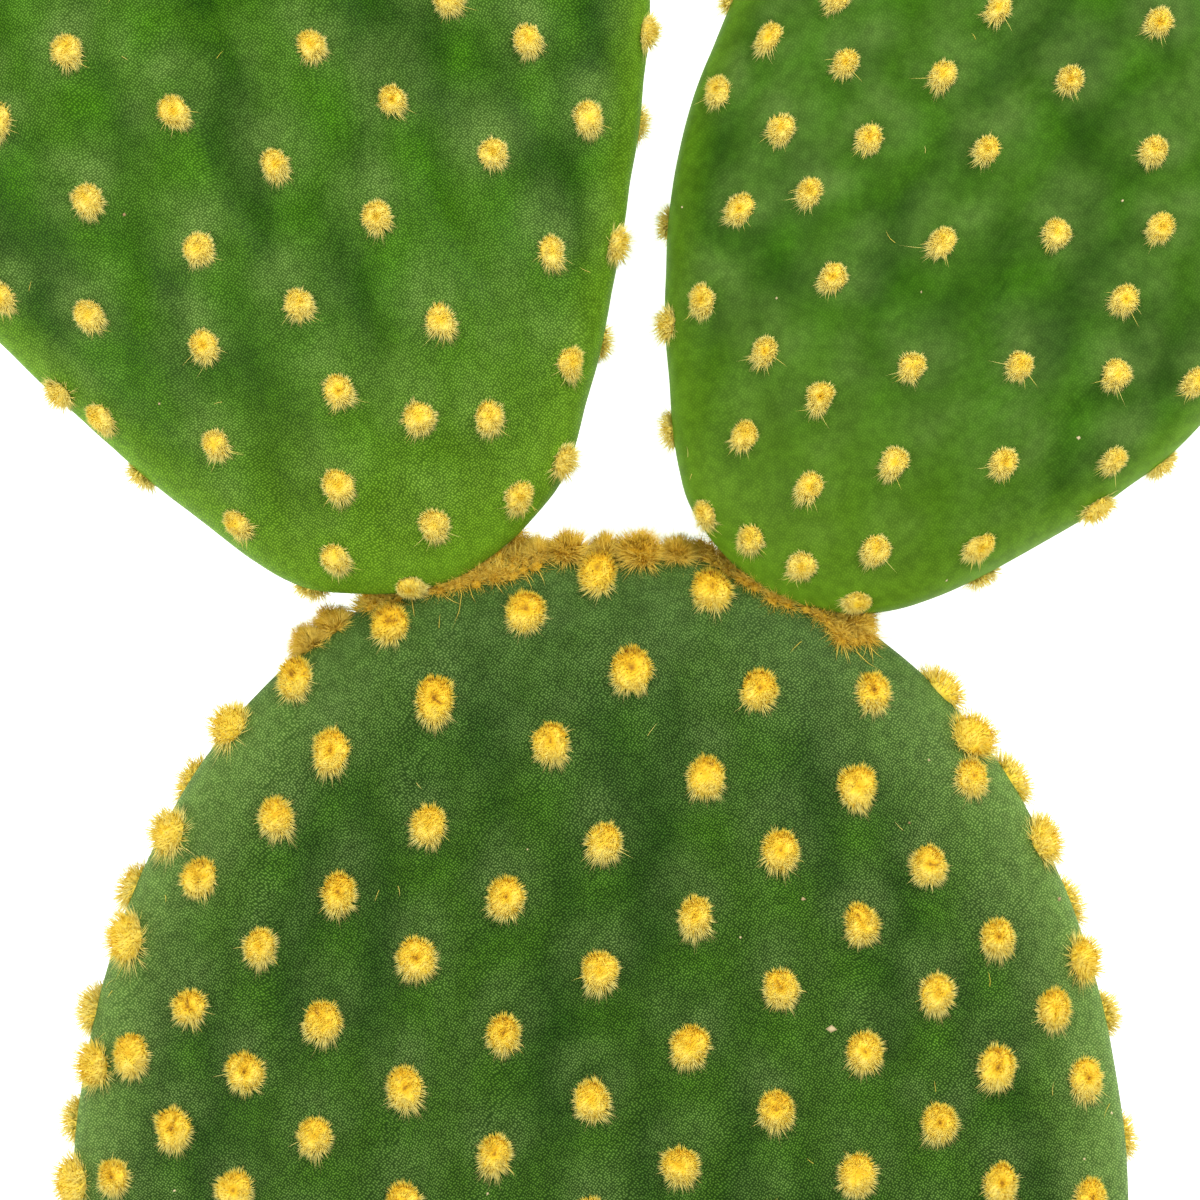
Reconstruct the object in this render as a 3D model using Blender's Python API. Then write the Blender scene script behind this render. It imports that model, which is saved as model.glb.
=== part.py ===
"""Prickly pear cactus cutting, laid down on its back.

One mature pad carries two younger pads that grew from its top rim. Its other end is the cut
neck. Metres, +Z up, and the pads' front faces look up. The cutting lies on tufts of short
bristles (glochids), and the ones that touch the ground are solids of their own. The origin
is on the ground, under the middle of the cutting's box.
"""

import math
import random

import bmesh
import bpy
import numpy as np
from mathutils import Vector

MM = 0.001

# Each pad is symmetrical about its own axis. Its stations run from base to tip, as
# (distance along the axis, half width) in millimetres, and a smooth closed line joins them.
LOWER_PAD = {
    "stations": [(-9, 0), (0, 8.6), (9, 14.5), (24, 28), (44, 39.4), (66, 42.3), (86, 39.6), (102, 32.6), (113.2, 22.3), (119.2, 9.8)],
    "thickness": 16.5,
    "base_fullness": 5.5,
    "base": (0, -116.2),
    "lean_deg": 0,
    "droop_deg": 0,
    "areole_turn_deg": 10,
    "areole_pitch": 11,
}
UPPER_LEFT_PAD = {
    "stations": [(1.1, 0), (4.5, 10.2), (12, 16.3), (22, 22.3), (33, 27.9), (46, 32.9), (61, 34.8), (77, 31), (91, 19.5), (98, 0)],
    "thickness": 13.6,
    "base_fullness": 4.2,
    "base": (-12.4, 0.3),
    "lean_deg": -19,
    "droop_deg": 3,
    "areole_turn_deg": 13,
    "areole_pitch": 9.4,
}
UPPER_RIGHT_PAD = {
    "stations": [(0.7, 0), (3.8, 8.8), (11.5, 15), (20, 20), (30, 23.9), (42, 25.4), (55, 24.6), (68, 19.6), (77, 11.5), (81.5, 0)],
    "thickness": 13,
    "base_fullness": 4.2,
    "base": (13.2, 0),
    "lean_deg": 29,
    "droop_deg": 3.5,
    "areole_turn_deg": 17,
    "areole_pitch": 9.2,
}

TIP_FULLNESS = 2.8  # a higher number keeps the face flatter and the rim blunter
GRID = 20  # quads across one face of a pad
OUTLINE_STEPS = 24  # points between two stations

PRESSED_DEPTH = 1.2  # the skin's height over the ground where a pad's bristles are pressed most
REST_REACH = 1.75  # bristles touch the ground where the skin is no higher than this
SKIN_GAP = 0.3  # between a tuft and the skin over it
NEST_GAP = 0.42  # how much the lower pad is grown to cut its seat into the pads on its rim
TUFT_RADIUS = 1.75
TUFT_LENGTH_RATIO = 1.12  # a tuft is longer along its pad's axis
TUFT_SIDES = 10
TUFT_WANDER = 0.6  # how far a tuft grows from its regular place
WANDER_SEED = 11

MATURE_GREEN = (0.10, 0.23, 0.05, 1)
YOUNG_GREEN = (0.16, 0.33, 0.04, 1)
GLOCHID_GOLD = (0.78, 0.52, 0.10, 1)


def clear_scene():
    for old in list(bpy.data.objects):
        bpy.data.objects.remove(old)


def make_material(name, colour, roughness):
    material = bpy.data.materials.new(name)
    material.use_nodes = True
    shader = material.node_tree.nodes["Principled BSDF"]
    shader.inputs["Base Color"].default_value = colour
    shader.inputs["Roughness"].default_value = roughness
    shader.inputs["Metallic"].default_value = 0
    return material


def smooth_loop(points):
    """A closed Catmull-Rom line through the points."""
    corners = np.array(points, float)
    before, after, beyond = (np.roll(corners, turn, axis=0) for turn in (1, -1, -2))
    line = []
    for step in np.arange(OUTLINE_STEPS) / OUTLINE_STEPS:
        square, cube = step**2, step**3
        line.append(
            0.5
            * (
                (2 * corners)
                + (after - before) * step
                + (2 * before - 5 * corners + 4 * after - beyond) * square
                + (3 * corners - before - 3 * after + beyond) * cube
            )
        )
    return np.stack(line, axis=1).reshape(-1, 2)


class PadShape:
    """A pad in its own axes: across, along and out, in millimetres, with out = 0 between its faces."""

    def __init__(self, pad, grown=0.0):
        stations = pad["stations"]
        right = [(half, along) for along, half in stations]
        left = [(-half, along) for along, half in stations[::-1] if half > 0]
        self.loop = smooth_loop(right + left)
        self.middle = np.array([0.0, (stations[0][0] + stations[-1][0]) / 2])
        offset = self.loop - self.middle
        angles = np.arctan2(offset[:, 1], offset[:, 0])
        order = np.argsort(angles)
        self.angles = angles[order]
        self.radii = np.hypot(offset[:, 0], offset[:, 1])[order] + grown
        self.half_thickness = pad["thickness"] / 2 + grown
        self.base_fullness = pad["base_fullness"]

    def rim_radius(self, angle):
        return np.interp(angle, self.angles, self.radii, period=2 * math.pi)

    def rise(self, share, angle):
        """Height of a face over the middle plane, at a share of the way out to the rim."""
        towards_base = max(0.0, -math.sin(angle)) ** 2
        fullness = TIP_FULLNESS + (self.base_fullness - TIP_FULLNESS) * towards_base
        return self.half_thickness * math.sqrt(max(0.0, 1 - share**fullness))

    def face_height(self, across, along):
        offset_x, offset_y = across - self.middle[0], along - self.middle[1]
        angle = math.atan2(offset_y, offset_x)
        share = math.hypot(offset_x, offset_y) / self.rim_radius(angle)
        return self.rise(min(share, 1.0), angle), share

    def point(self, share, angle, side):
        reach = share * self.rim_radius(angle)
        across = self.middle[0] + reach * math.cos(angle)
        along = self.middle[1] + reach * math.sin(angle)
        return across, along, side * self.rise(share, angle)


def disc_place(column, row):
    """Maps a square grid onto a disc, closer together towards its edge."""
    x, y = 2 * column / GRID - 1, 2 * row / GRID - 1
    if x == 0 and y == 0:
        return 0.0, 0.0
    if abs(x) >= abs(y):
        angle = math.pi / 4 * y / x + (math.pi if x < 0 else 0)
    else:
        angle = math.pi / 2 - math.pi / 4 * x / y + (math.pi if y < 0 else 0)
    return math.sin(max(abs(x), abs(y)) * math.pi / 2), math.atan2(math.sin(angle), math.cos(angle))


def pad_bmesh(shape):
    """Two domed faces that share the rim."""
    mesh = bmesh.new()
    sheets = {}
    for side in (1, -1):
        for column in range(GRID + 1):
            for row in range(GRID + 1):
                on_rim = column in (0, GRID) or row in (0, GRID)
                if side < 0 and on_rim:
                    sheets[side, column, row] = sheets[1, column, row]
                    continue
                share, angle = disc_place(column, row)
                sheets[side, column, row] = mesh.verts.new(shape.point(share, angle, side))
        for column in range(GRID):
            for row in range(GRID):
                corners = [(column, row), (column + 1, row), (column + 1, row + 1), (column, row + 1)]
                mesh.faces.new([sheets[side, *corner] for corner in corners[::side]])
    return mesh


def pad_axes(pad):
    """Directions of the pad's across, along and out axes in the world."""
    lean, droop = math.radians(pad["lean_deg"]), math.radians(pad["droop_deg"])
    across = Vector((math.cos(lean), -math.sin(lean), 0))
    along = Vector((math.sin(lean) * math.cos(droop), math.cos(lean) * math.cos(droop), -math.sin(droop)))
    return across, along, across.cross(along)


def to_world(pad, height, place):
    across, along, out = pad_axes(pad)
    base = Vector((*pad["base"], height))
    return base + across * place[0] + along * place[1] + out * place[2]


def base_height(pad, shape):
    """Height of the pad's base that leaves its lowest skin at the pressed depth."""
    lowest = min(
        to_world(pad, 0, shape.point(share, angle, -1)).z
        for share in np.linspace(0, 1, 60)
        for angle in np.linspace(-math.pi, math.pi, 180)
    )
    return PRESSED_DEPTH - lowest


def object_from(mesh, name, material):
    data = bpy.data.meshes.new(name)
    mesh.to_mesh(data)
    mesh.free()
    data.materials.append(material)
    made = bpy.data.objects.new(name, data)
    bpy.context.scene.collection.objects.link(made)
    return made


def make_pad(pad, name, material, grown=0.0):
    shape = PadShape(pad, grown)
    mesh = pad_bmesh(shape)
    height = base_height(pad, PadShape(pad))
    for vertex in mesh.verts:
        vertex.co = to_world(pad, height, vertex.co) * MM
    made = object_from(mesh, name, material)
    made.data.shade_smooth()
    return made


def cut_neck(made, pad):
    """Takes the lower pad off square where it was cut from the plant, at distance 0 along its axis."""
    mesh = bmesh.new()
    mesh.from_mesh(made.data)
    cut = bmesh.ops.bisect_plane(
        mesh,
        geom=mesh.verts[:] + mesh.edges[:] + mesh.faces[:],
        dist=1e-6,
        plane_co=Vector((*pad["base"], 0)) * MM,
        plane_no=(0, 1, 0),
        clear_inner=True,
    )
    edges = [part for part in cut["geom_cut"] if isinstance(part, bmesh.types.BMEdge)]
    bmesh.ops.contextual_create(mesh, geom=edges)
    bmesh.ops.recalc_face_normals(mesh, faces=mesh.faces[:])
    mesh.to_mesh(made.data)
    mesh.free()
    made.data.set_sharp_from_angle(angle=math.radians(40))


def nest_on(upper, cutter):
    """The younger pad's base closes round the rim that it grew from, a hair's breadth off it."""
    nest = upper.modifiers.new("nest", "BOOLEAN")
    nest.operation = "DIFFERENCE"
    nest.solver = "EXACT"
    nest.object = cutter


def areole_places(pad, shape, wander):
    """Places of the back's areoles: columns at even turns about the pad's axis, every second one half a pitch up."""
    length = pad["stations"][-1][0]
    widest = max(half for _, half in pad["stations"])
    for column in range(-5, 6):
        turn = math.radians(column * pad["areole_turn_deg"])
        for row in range(int(length / pad["areole_pitch"])):
            across = widest * math.sin(turn) + wander.uniform(-TUFT_WANDER, TUFT_WANDER)
            along = pad["areole_pitch"] * (row + 0.5 * (column % 2)) + wander.uniform(-TUFT_WANDER, TUFT_WANDER)
            if shape.face_height(across, along)[1] < 0.8:
                yield across, along


def make_rest_tuft(name, centre, lean_deg, skin_height, material):
    """A tuft pressed between the skin above and the ground."""
    mesh = bmesh.new()
    lean = math.radians(lean_deg)
    levels = ((0.0, 0.94), (0.35, 1.0), (1.0, 0.84))  # share of the way up, share of the radius
    rings = []
    for up, spread in levels:
        ring = []
        for side in range(TUFT_SIDES):
            turn = 2 * math.pi * side / TUFT_SIDES
            across = TUFT_RADIUS * spread * math.cos(turn)
            along = TUFT_RADIUS * TUFT_LENGTH_RATIO * spread * math.sin(turn)
            x = centre[0] + across * math.cos(lean) + along * math.sin(lean)
            y = centre[1] - across * math.sin(lean) + along * math.cos(lean)
            ring.append(mesh.verts.new(Vector((x, y, up * (skin_height(x, y) - SKIN_GAP))) * MM))
        rings.append(ring)
    for lower, upper in zip(rings, rings[1:]):
        for side in range(TUFT_SIDES):
            following = (side + 1) % TUFT_SIDES
            mesh.faces.new((lower[side], lower[following], upper[following], upper[side]))
    mesh.faces.new(rings[0][::-1])
    crown = mesh.verts.new(Vector((*centre, skin_height(*centre) - SKIN_GAP)) * MM)
    for side in range(TUFT_SIDES):
        mesh.faces.new((rings[-1][side], rings[-1][(side + 1) % TUFT_SIDES], crown))
    made = object_from(mesh, name, material)
    made.data.shade_smooth()
    made.data.set_sharp_from_angle(angle=math.radians(50))
    return made


def plan_place(pad, x, y):
    """Across and along on the pad's middle plane, under a point of the ground."""
    across_axis, along_axis, _ = pad_axes(pad)
    offset = Vector((x - pad["base"][0], y - pad["base"][1], 0))
    flat_along = Vector((along_axis.x, along_axis.y, 0))
    return offset.dot(across_axis), offset.dot(flat_along) / flat_along.length_squared


def make_rest_tufts(pad, name, material, wander):
    """The tufts under one pad that reach the ground."""
    shape = PadShape(pad)
    height = base_height(pad, shape)

    def skin_height(x, y):
        across, along = plan_place(pad, x, y)
        return to_world(pad, height, (across, along, -shape.face_height(across, along)[0])).z

    made = []
    for across, along in areole_places(pad, shape, wander):
        centre = to_world(pad, height, (across, along, -shape.face_height(across, along)[0]))
        if skin_height(centre.x, centre.y) < REST_REACH:
            tuft_name = f"{name}_{len(made) + 1:02d}"
            tuft = make_rest_tuft(tuft_name, centre.xy, pad["lean_deg"], skin_height, material)
            made.append(tuft)
    return made


def centre_over_origin(objects):
    """Moves the whole cutting so that the middle of its box lies over the origin."""
    corners = np.array([vertex.co[:2] for made in objects for vertex in made.data.vertices])
    middle = (corners.min(axis=0) + corners.max(axis=0)) / 2
    for made in bpy.data.objects:
        for vertex in made.data.vertices:
            vertex.co.x -= middle[0]
            vertex.co.y -= middle[1]


def main():
    clear_scene()
    mature_skin = make_material("mature_skin", MATURE_GREEN, 0.55)
    young_skin = make_material("young_skin", YOUNG_GREEN, 0.5)
    glochids = make_material("glochids", GLOCHID_GOLD, 0.8)
    wander = random.Random(WANDER_SEED)

    lower_pad = make_pad(LOWER_PAD, "lower_pad", mature_skin)
    cut_neck(lower_pad, LOWER_PAD)
    rim_cutter = make_pad(LOWER_PAD, "rim_cutter", mature_skin, grown=NEST_GAP)
    rim_cutter.hide_render = True
    rim_cutter.display_type = "WIRE"
    shown = [lower_pad]
    for pad, name in ((UPPER_LEFT_PAD, "upper_left_pad"), (UPPER_RIGHT_PAD, "upper_right_pad")):
        upper = make_pad(pad, name, young_skin)
        nest_on(upper, rim_cutter)
        shown.append(upper)
    shown += make_rest_tufts(LOWER_PAD, "lower_rest_tuft", glochids, wander)
    shown += make_rest_tufts(UPPER_LEFT_PAD, "left_rest_tuft", glochids, wander)
    shown += make_rest_tufts(UPPER_RIGHT_PAD, "right_rest_tuft", glochids, wander)
    centre_over_origin(shown)


main()
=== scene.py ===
import math

import bpy
import numpy as np
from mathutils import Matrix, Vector, noise


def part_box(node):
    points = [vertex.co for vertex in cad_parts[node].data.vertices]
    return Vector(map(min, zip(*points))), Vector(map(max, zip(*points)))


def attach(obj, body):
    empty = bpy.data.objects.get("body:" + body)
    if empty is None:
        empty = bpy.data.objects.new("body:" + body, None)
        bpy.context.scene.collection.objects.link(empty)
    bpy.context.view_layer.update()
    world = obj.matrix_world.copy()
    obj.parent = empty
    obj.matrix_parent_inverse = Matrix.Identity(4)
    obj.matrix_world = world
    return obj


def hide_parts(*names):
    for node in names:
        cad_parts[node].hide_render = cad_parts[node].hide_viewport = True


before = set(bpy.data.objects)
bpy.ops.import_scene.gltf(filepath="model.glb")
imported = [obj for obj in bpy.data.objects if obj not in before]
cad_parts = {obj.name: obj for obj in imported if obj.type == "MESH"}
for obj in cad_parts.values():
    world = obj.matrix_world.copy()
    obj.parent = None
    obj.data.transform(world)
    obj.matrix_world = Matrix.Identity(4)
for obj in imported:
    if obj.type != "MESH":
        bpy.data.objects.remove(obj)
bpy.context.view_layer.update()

# Lengths below are in millimetres, angles in degrees and colours linear, unless a note says otherwise.
mm = 0.001
fullTurn = 2 * math.pi
goldenTurn = math.pi * (3 - math.sqrt(5))
outlineSteps = 24  # points between two stations of a pad's outline
tipFullness = 2.8  # how blunt a pad's rim is, away from its base


studio = {
    "viewWidth": 96,
    "viewDistance": 700,
    "viewBelowTip": 3.75,  # the view's middle lies this far below the mature pad's tip
    "rimHeight": 9.5,
    "floorSize": 2400,
    "floorColour": (0.93, 0.93, 0.925, 1),
    "floorRoughness": 0.9,
    "floorSpecular": 0.1,
    "floorGlow": 1.0,
    "worldLight": 0.72,
    "keySoftbox": ((0.50, 0.55, 0.62), 0.5, 6.6),  # place and width in metres, and power in watts
    "fillSoftbox": ((-0.6, -0.3, 0.7), 0.6, 4.5),
}


def placeCamera():
    low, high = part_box("lower_pad")
    data = bpy.data.cameras.new("camera")
    data.sensor_width = 36
    data.lens = data.sensor_width * studio["viewDistance"] / studio["viewWidth"]
    data.clip_start = 0.01
    camera = bpy.data.objects.new("camera", data)
    camera.location = (
        (low.x + high.x) / 2,
        high.y - studio["viewBelowTip"] * mm,
        (studio["viewDistance"] + studio["rimHeight"]) * mm,
    )
    bpy.context.scene.collection.objects.link(camera)
    bpy.context.scene.camera = camera


def placeFloor():
    half = studio["floorSize"] * mm / 2
    data = bpy.data.meshes.new("floor")
    corners = [(-half, -half, 0), (half, -half, 0), (half, half, 0), (-half, half, 0)]
    data.from_pydata(corners, [], [(0, 1, 2, 3)])
    floor = bpy.data.objects.new("floor", data)
    bpy.context.scene.collection.objects.link(floor)
    paint = bpy.data.materials.new("floor_paper")
    paint.use_nodes = True
    shader = paint.node_tree.nodes["Principled BSDF"]
    shader.inputs["Base Color"].default_value = studio["floorColour"]
    shader.inputs["Roughness"].default_value = studio["floorRoughness"]
    shader.inputs["Specular IOR Level"].default_value = studio["floorSpecular"]
    shader.inputs["Emission Color"].default_value = (1, 1, 1, 1)
    shader.inputs["Emission Strength"].default_value = studio["floorGlow"]
    data.materials.append(paint)


def softbox(name, place, size, power):
    data = bpy.data.lights.new(name, "AREA")
    data.shape = "DISK"
    data.size = size
    data.energy = power
    lamp = bpy.data.objects.new(name, data)
    lamp.location = place
    lamp.rotation_euler = (-Vector(place)).to_track_quat("-Z", "Y").to_euler()
    bpy.context.scene.collection.objects.link(lamp)


def setLight():
    world = bpy.data.worlds.new("studio")
    world.use_nodes = True
    background = world.node_tree.nodes["Background"]
    background.inputs["Color"].default_value = (1, 1, 1, 1)
    background.inputs["Strength"].default_value = studio["worldLight"]
    bpy.context.scene.world = world
    softbox("key_softbox", *studio["keySoftbox"])
    softbox("fill_softbox", *studio["fillSoftbox"])
    bpy.context.scene.view_settings.view_transform = "Standard"


placeCamera()
placeFloor()
setLight()
print("camera, floor and lights are in place")


# Stations run from base to tip, as (distance along the pad, half width), as in the solid model.
# anchor says which side of the solid's box each axis is lined up with: -1 low, 0 middle, 1 high.
maturePad = {
    "node": "lower_pad",
    "restPrefix": "lower_rest_tuft",
    "stations": [
        (-9, 0), (0, 8.6), (9, 14.5), (24, 28), (44, 39.4), (66, 42.3), (86, 39.6), (102, 32.6),
        (113.2, 22.3), (119.2, 9.8),
    ],
    "thickness": 16.5,
    "baseFullness": 5.5,
    "lean": 0,
    "droop": 0,
    "anchor": (0, 1, 0),
    "cutAt": 0,
    "rimPitch": 4.8,
    "backTurn": 10,
    "backPitch": 11,
    "cells": 132,
    "grain": 0.85,
    "mound": 0.34,
    "moundWidth": 2.9,
    "furrow": 0.30,
    "furrowWidth": 8,
    "furrowLength": 26,
}
leftPad = {
    "node": "upper_left_pad",
    "restPrefix": "left_rest_tuft",
    "stations": [
        (1.1, 0), (4.5, 10.2), (12, 16.3), (22, 22.3), (33, 27.9), (46, 32.9), (61, 34.8), (77, 31),
        (91, 19.5), (98, 0),
    ],
    "thickness": 13.6,
    "baseFullness": 4.2,
    "lean": -19,
    "droop": 3,
    "anchor": (-1, 1, -1),
    "rimPitch": 8.4,
    "frontColumn": 8,
    "frontPitch": 9.2,
    "backTurn": 13,
    "backPitch": 9.4,
    "cells": 104,
    "grain": 0.68,
    "mound": 0.85,
    "moundWidth": 3.4,
    "furrow": 0.85,
    "furrowWidth": 6.5,
    "furrowLength": 17,
}
rightPad = {
    "node": "upper_right_pad",
    "restPrefix": "right_rest_tuft",
    "stations": [
        (0.7, 0), (3.8, 8.8), (11.5, 15), (20, 20), (30, 23.9), (42, 25.4), (55, 24.6), (68, 19.6),
        (77, 11.5), (81.5, 0),
    ],
    "thickness": 13,
    "baseFullness": 4.2,
    "lean": 29,
    "droop": 3.5,
    "anchor": (1, 1, -1),
    "rimPitch": 8,
    "frontColumn": 7.5,
    "frontPitch": 9,
    "backTurn": 17,
    "backPitch": 9.2,
    "cells": 92,
    "grain": 0.18,
    "mound": 0.75,
    "moundWidth": 3.1,
    "furrow": 0.70,
    "furrowWidth": 6.5,
    "furrowLength": 15,
}


def closedCurve(corners):
    # a Catmull-Rom line through the corners
    corners = np.array(corners, float)
    before, after, beyond = (np.roll(corners, turn, axis=0) for turn in (1, -1, -2))
    line = []
    for step in np.arange(outlineSteps) / outlineSteps:
        linear = (after - before) * step
        square = (2 * before - 5 * corners + 4 * after - beyond) * step**2
        cube = (3 * corners - before - 3 * after + beyond) * step**3
        line.append(0.5 * (2 * corners + linear + square + cube))
    return np.stack(line, axis=1).reshape(-1, 2)


def rimReach(pad, angle):
    # distance from the middle of a pad to its rim
    return np.interp(angle, pad["angles"], pad["radii"], period=fullTurn)


def skinRise(pad, share, angle):
    # height of a face over the pad's middle plane, at a share of the way out to the rim
    towardsBase = np.maximum(0, -np.sin(angle)) ** 2
    fullness = tipFullness + (pad["baseFullness"] - tipFullness) * towardsBase
    return pad["thickness"] / 2 * np.sqrt(np.maximum(0, 1 - share**fullness))


def skinInPad(pad, over, angle):
    # over runs from 0 in the middle of the front, through 1 on the rim, to 2 in the middle of the back
    share = np.sin(over * math.pi / 2)
    reach = share * rimReach(pad, angle)
    rise = np.where(over <= 1, 1, -1) * skinRise(pad, share, angle)
    along = pad["middle"] + reach * np.sin(angle)
    if "cutAt" in pad:
        along = np.maximum(along, pad["cutAt"])
    return np.stack([reach * np.cos(angle), along, rise], axis=-1)


def skin(pad, over, angle):
    return pad["origin"] + skinInPad(pad, over, angle) @ pad["axes"]


def inPad(pad, points):
    # points of the world as across, along and out of a pad
    return (points - pad["origin"]) @ pad["axes"].T


def settlePad(pad):
    # works out the outline and where the pad's own axes lie, so that it fills its solid's box
    stations = pad["stations"]
    right = [(half, along) for along, half in stations]
    left = [(-half, along) for along, half in stations[::-1] if half > 0]
    line = closedCurve(right + left)
    pad["middle"] = (stations[0][0] + stations[-1][0]) / 2
    offset = line - (0, pad["middle"])
    angles = np.arctan2(offset[:, 1], offset[:, 0])
    order = np.argsort(angles)
    pad["angles"] = angles[order]
    pad["radii"] = np.hypot(offset[:, 0], offset[:, 1])[order]
    lean, droop = math.radians(pad["lean"]), math.radians(pad["droop"])
    across = np.array([math.cos(lean), -math.sin(lean), 0])
    level = math.cos(droop)
    along = np.array([math.sin(lean) * level, math.cos(lean) * level, -math.sin(droop)])
    pad["axes"] = np.array([across, along, np.cross(across, along)])
    pad["origin"] = np.zeros(3)
    over, angle = np.meshgrid(np.linspace(0, 2, 121), np.linspace(-math.pi, math.pi, 361))
    points = skin(pad, over.ravel(), angle.ravel())
    mine = np.array([points.min(axis=0), points.max(axis=0)])
    solid = np.array([list(corner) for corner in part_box(pad["node"])]) / mm
    weight = (np.array(pad["anchor"]) + 1) / 2
    pad["origin"] = ((solid - mine) * [1 - weight, weight]).sum(axis=0)


pads = {"mature": maturePad, "left": leftPad, "right": rightPad}
for pad in pads.values():
    settlePad(pad)


def toPad(pad, across, along):
    # where a place on the front lies, as over and angle
    rise = along - pad["middle"]
    angle = np.arctan2(rise, across)
    share = np.hypot(across, rise) / rimReach(pad, angle)
    return np.arcsin(np.clip(share, 0, 1)) * 2 / math.pi, angle, share


def ramp(numbers, start, stretch):
    # 0 up to start, and from there rising to 1 over the stretch
    return np.clip((numbers - start) / stretch, 0, 1)


def unit(arrows):
    return arrows / np.maximum(np.linalg.norm(arrows, axis=-1, keepdims=True), 1e-9)


def seatsOn(pad, over, angle):
    # points of the skin with the way out of it and the way up the pad
    middle = 0.02  # this close to the middle of a face, the ways out and around aren't clear
    over = np.clip(np.asarray(over, float), middle, 2 - middle)
    angle = np.asarray(angle, float)
    step = 0.002
    place = skin(pad, over, angle)
    outwards = skin(pad, over + step, angle) - skin(pad, over - step, angle)
    around = skin(pad, over, angle + step) - skin(pad, over, angle - step)
    out = unit(np.cross(outwards, around))
    up = pad["axes"][1] - growth["tuftTilt"] * pad["axes"][2]
    up = unit(up - out * (out @ up)[:, None])
    age = np.zeros(len(place))
    if "cutAt" in pad:
        along = (place - pad["origin"]) @ pad["axes"][1]
        age = ramp(along, growth["oldStart"], growth["oldStretch"])
    return {"place": place, "out": out, "up": up, "age": age}


def joined(parts):
    return {key: np.concatenate([part[key] for part in parts]) for key in parts[0]}


def chosen(seats, mask):
    return {key: value[mask] for key, value in seats.items()}


flesh = {
    "skew": 0.35,  # how far the furrows turn from a pad's own length
    "fineness": 2.3,  # of the small furrows among the large ones
    "fineDepth": 0.45,
    "fadeStart": 0.72,  # furrows and mounds fade from this share of the way to the rim
    "fadeStretch": 0.28,
    "fadeBend": 1.5,
    "fade": 0.8,
}


def furrows(pad, points):
    # soft lengthwise furrows and hollows of the flesh
    local = inPad(pad, points)
    wide, long = pad["furrowWidth"], pad["furrowLength"]
    skewed = local[:, 1] + flesh["skew"] * local[:, 0]
    places = np.stack([local[:, 0] / wide, skewed / long, local[:, 2] / wide], axis=1)
    found = []
    for place in map(Vector, places):
        fine = noise.noise(place * flesh["fineness"])
        found.append(noise.noise(place) + flesh["fineDepth"] * fine)
    return pad["furrow"] * np.array(found)


def clouds(points, size):
    # soft noise from about -0.5 to 0.5, with lumps about size across
    return np.array([noise.noise(Vector(point)) for point in points / size])


def nearTufts(pad, points, shift, wide, long):
    # 1 in patches set off from the tufts along the pad by shift, falling softly to 0 away from them
    size = np.array([wide, long, wide])
    centres = ((inPad(pad, pad["seats"]["place"]) + (0, shift, 0)) / size).astype(np.float32)
    local = (inPad(pad, points) / size).astype(np.float32)
    found = np.empty(len(points))
    atOnce = 6000  # more points at once would take too much memory
    for start in range(0, len(points), atOnce):
        gaps = ((local[start : start + atOnce, None] - centres[None]) ** 2).sum(axis=2)
        found[start : start + atOnce] = np.exp(-gaps.min(axis=1) / 2)
    return found


def skinLift(pad, points):
    # mounds under the tufts and furrows between them, fading towards the rim
    mounds = nearTufts(pad, points, 0, pad["moundWidth"], pad["moundWidth"])
    _, _, share = toPad(pad, *inPad(pad, points).T[:2])
    outer = ramp(share, flesh["fadeStart"], flesh["fadeStretch"])
    return (pad["mound"] * mounds + furrows(pad, points)) * (1 - flesh["fade"] * outer ** flesh["fadeBend"])


growth = {
    "frontReach": 0.955,  # no lattice tuft further out than this share of the way to the rim
    "backReach": 0.8,
    "wander": 0.35,
    "keepApart": 5.2,
    "tuftTilt": 0.35,  # how far the tufts lean back from the pad's own length
    "rimOver": 0.99,
    "rimSwing": 0.085,  # how far the rim's tufts swing to the front and back, as a share of over
    "rimWander": (0.2, 0.04),  # share of a step along the rim, and share of over across it
    "restApart": 6,
    "fleshGap": 0.6,  # no tufts grow this close to another pad
    "cutMargin": 3,  # no tufts grow this close to the cut
    "rimApart": 3.3,
    "oldStart": 98,  # tufts grow larger and darker from here to the mature pad's tip
    "oldStretch": 20,
    "handAcross": (-49.5, 49.5),  # inside these two reaches the tufts listed below are placed
    "handAlong": (100.5, 165.5),
    "handReach": 1.05,
    "seed": 5,
}
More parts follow.
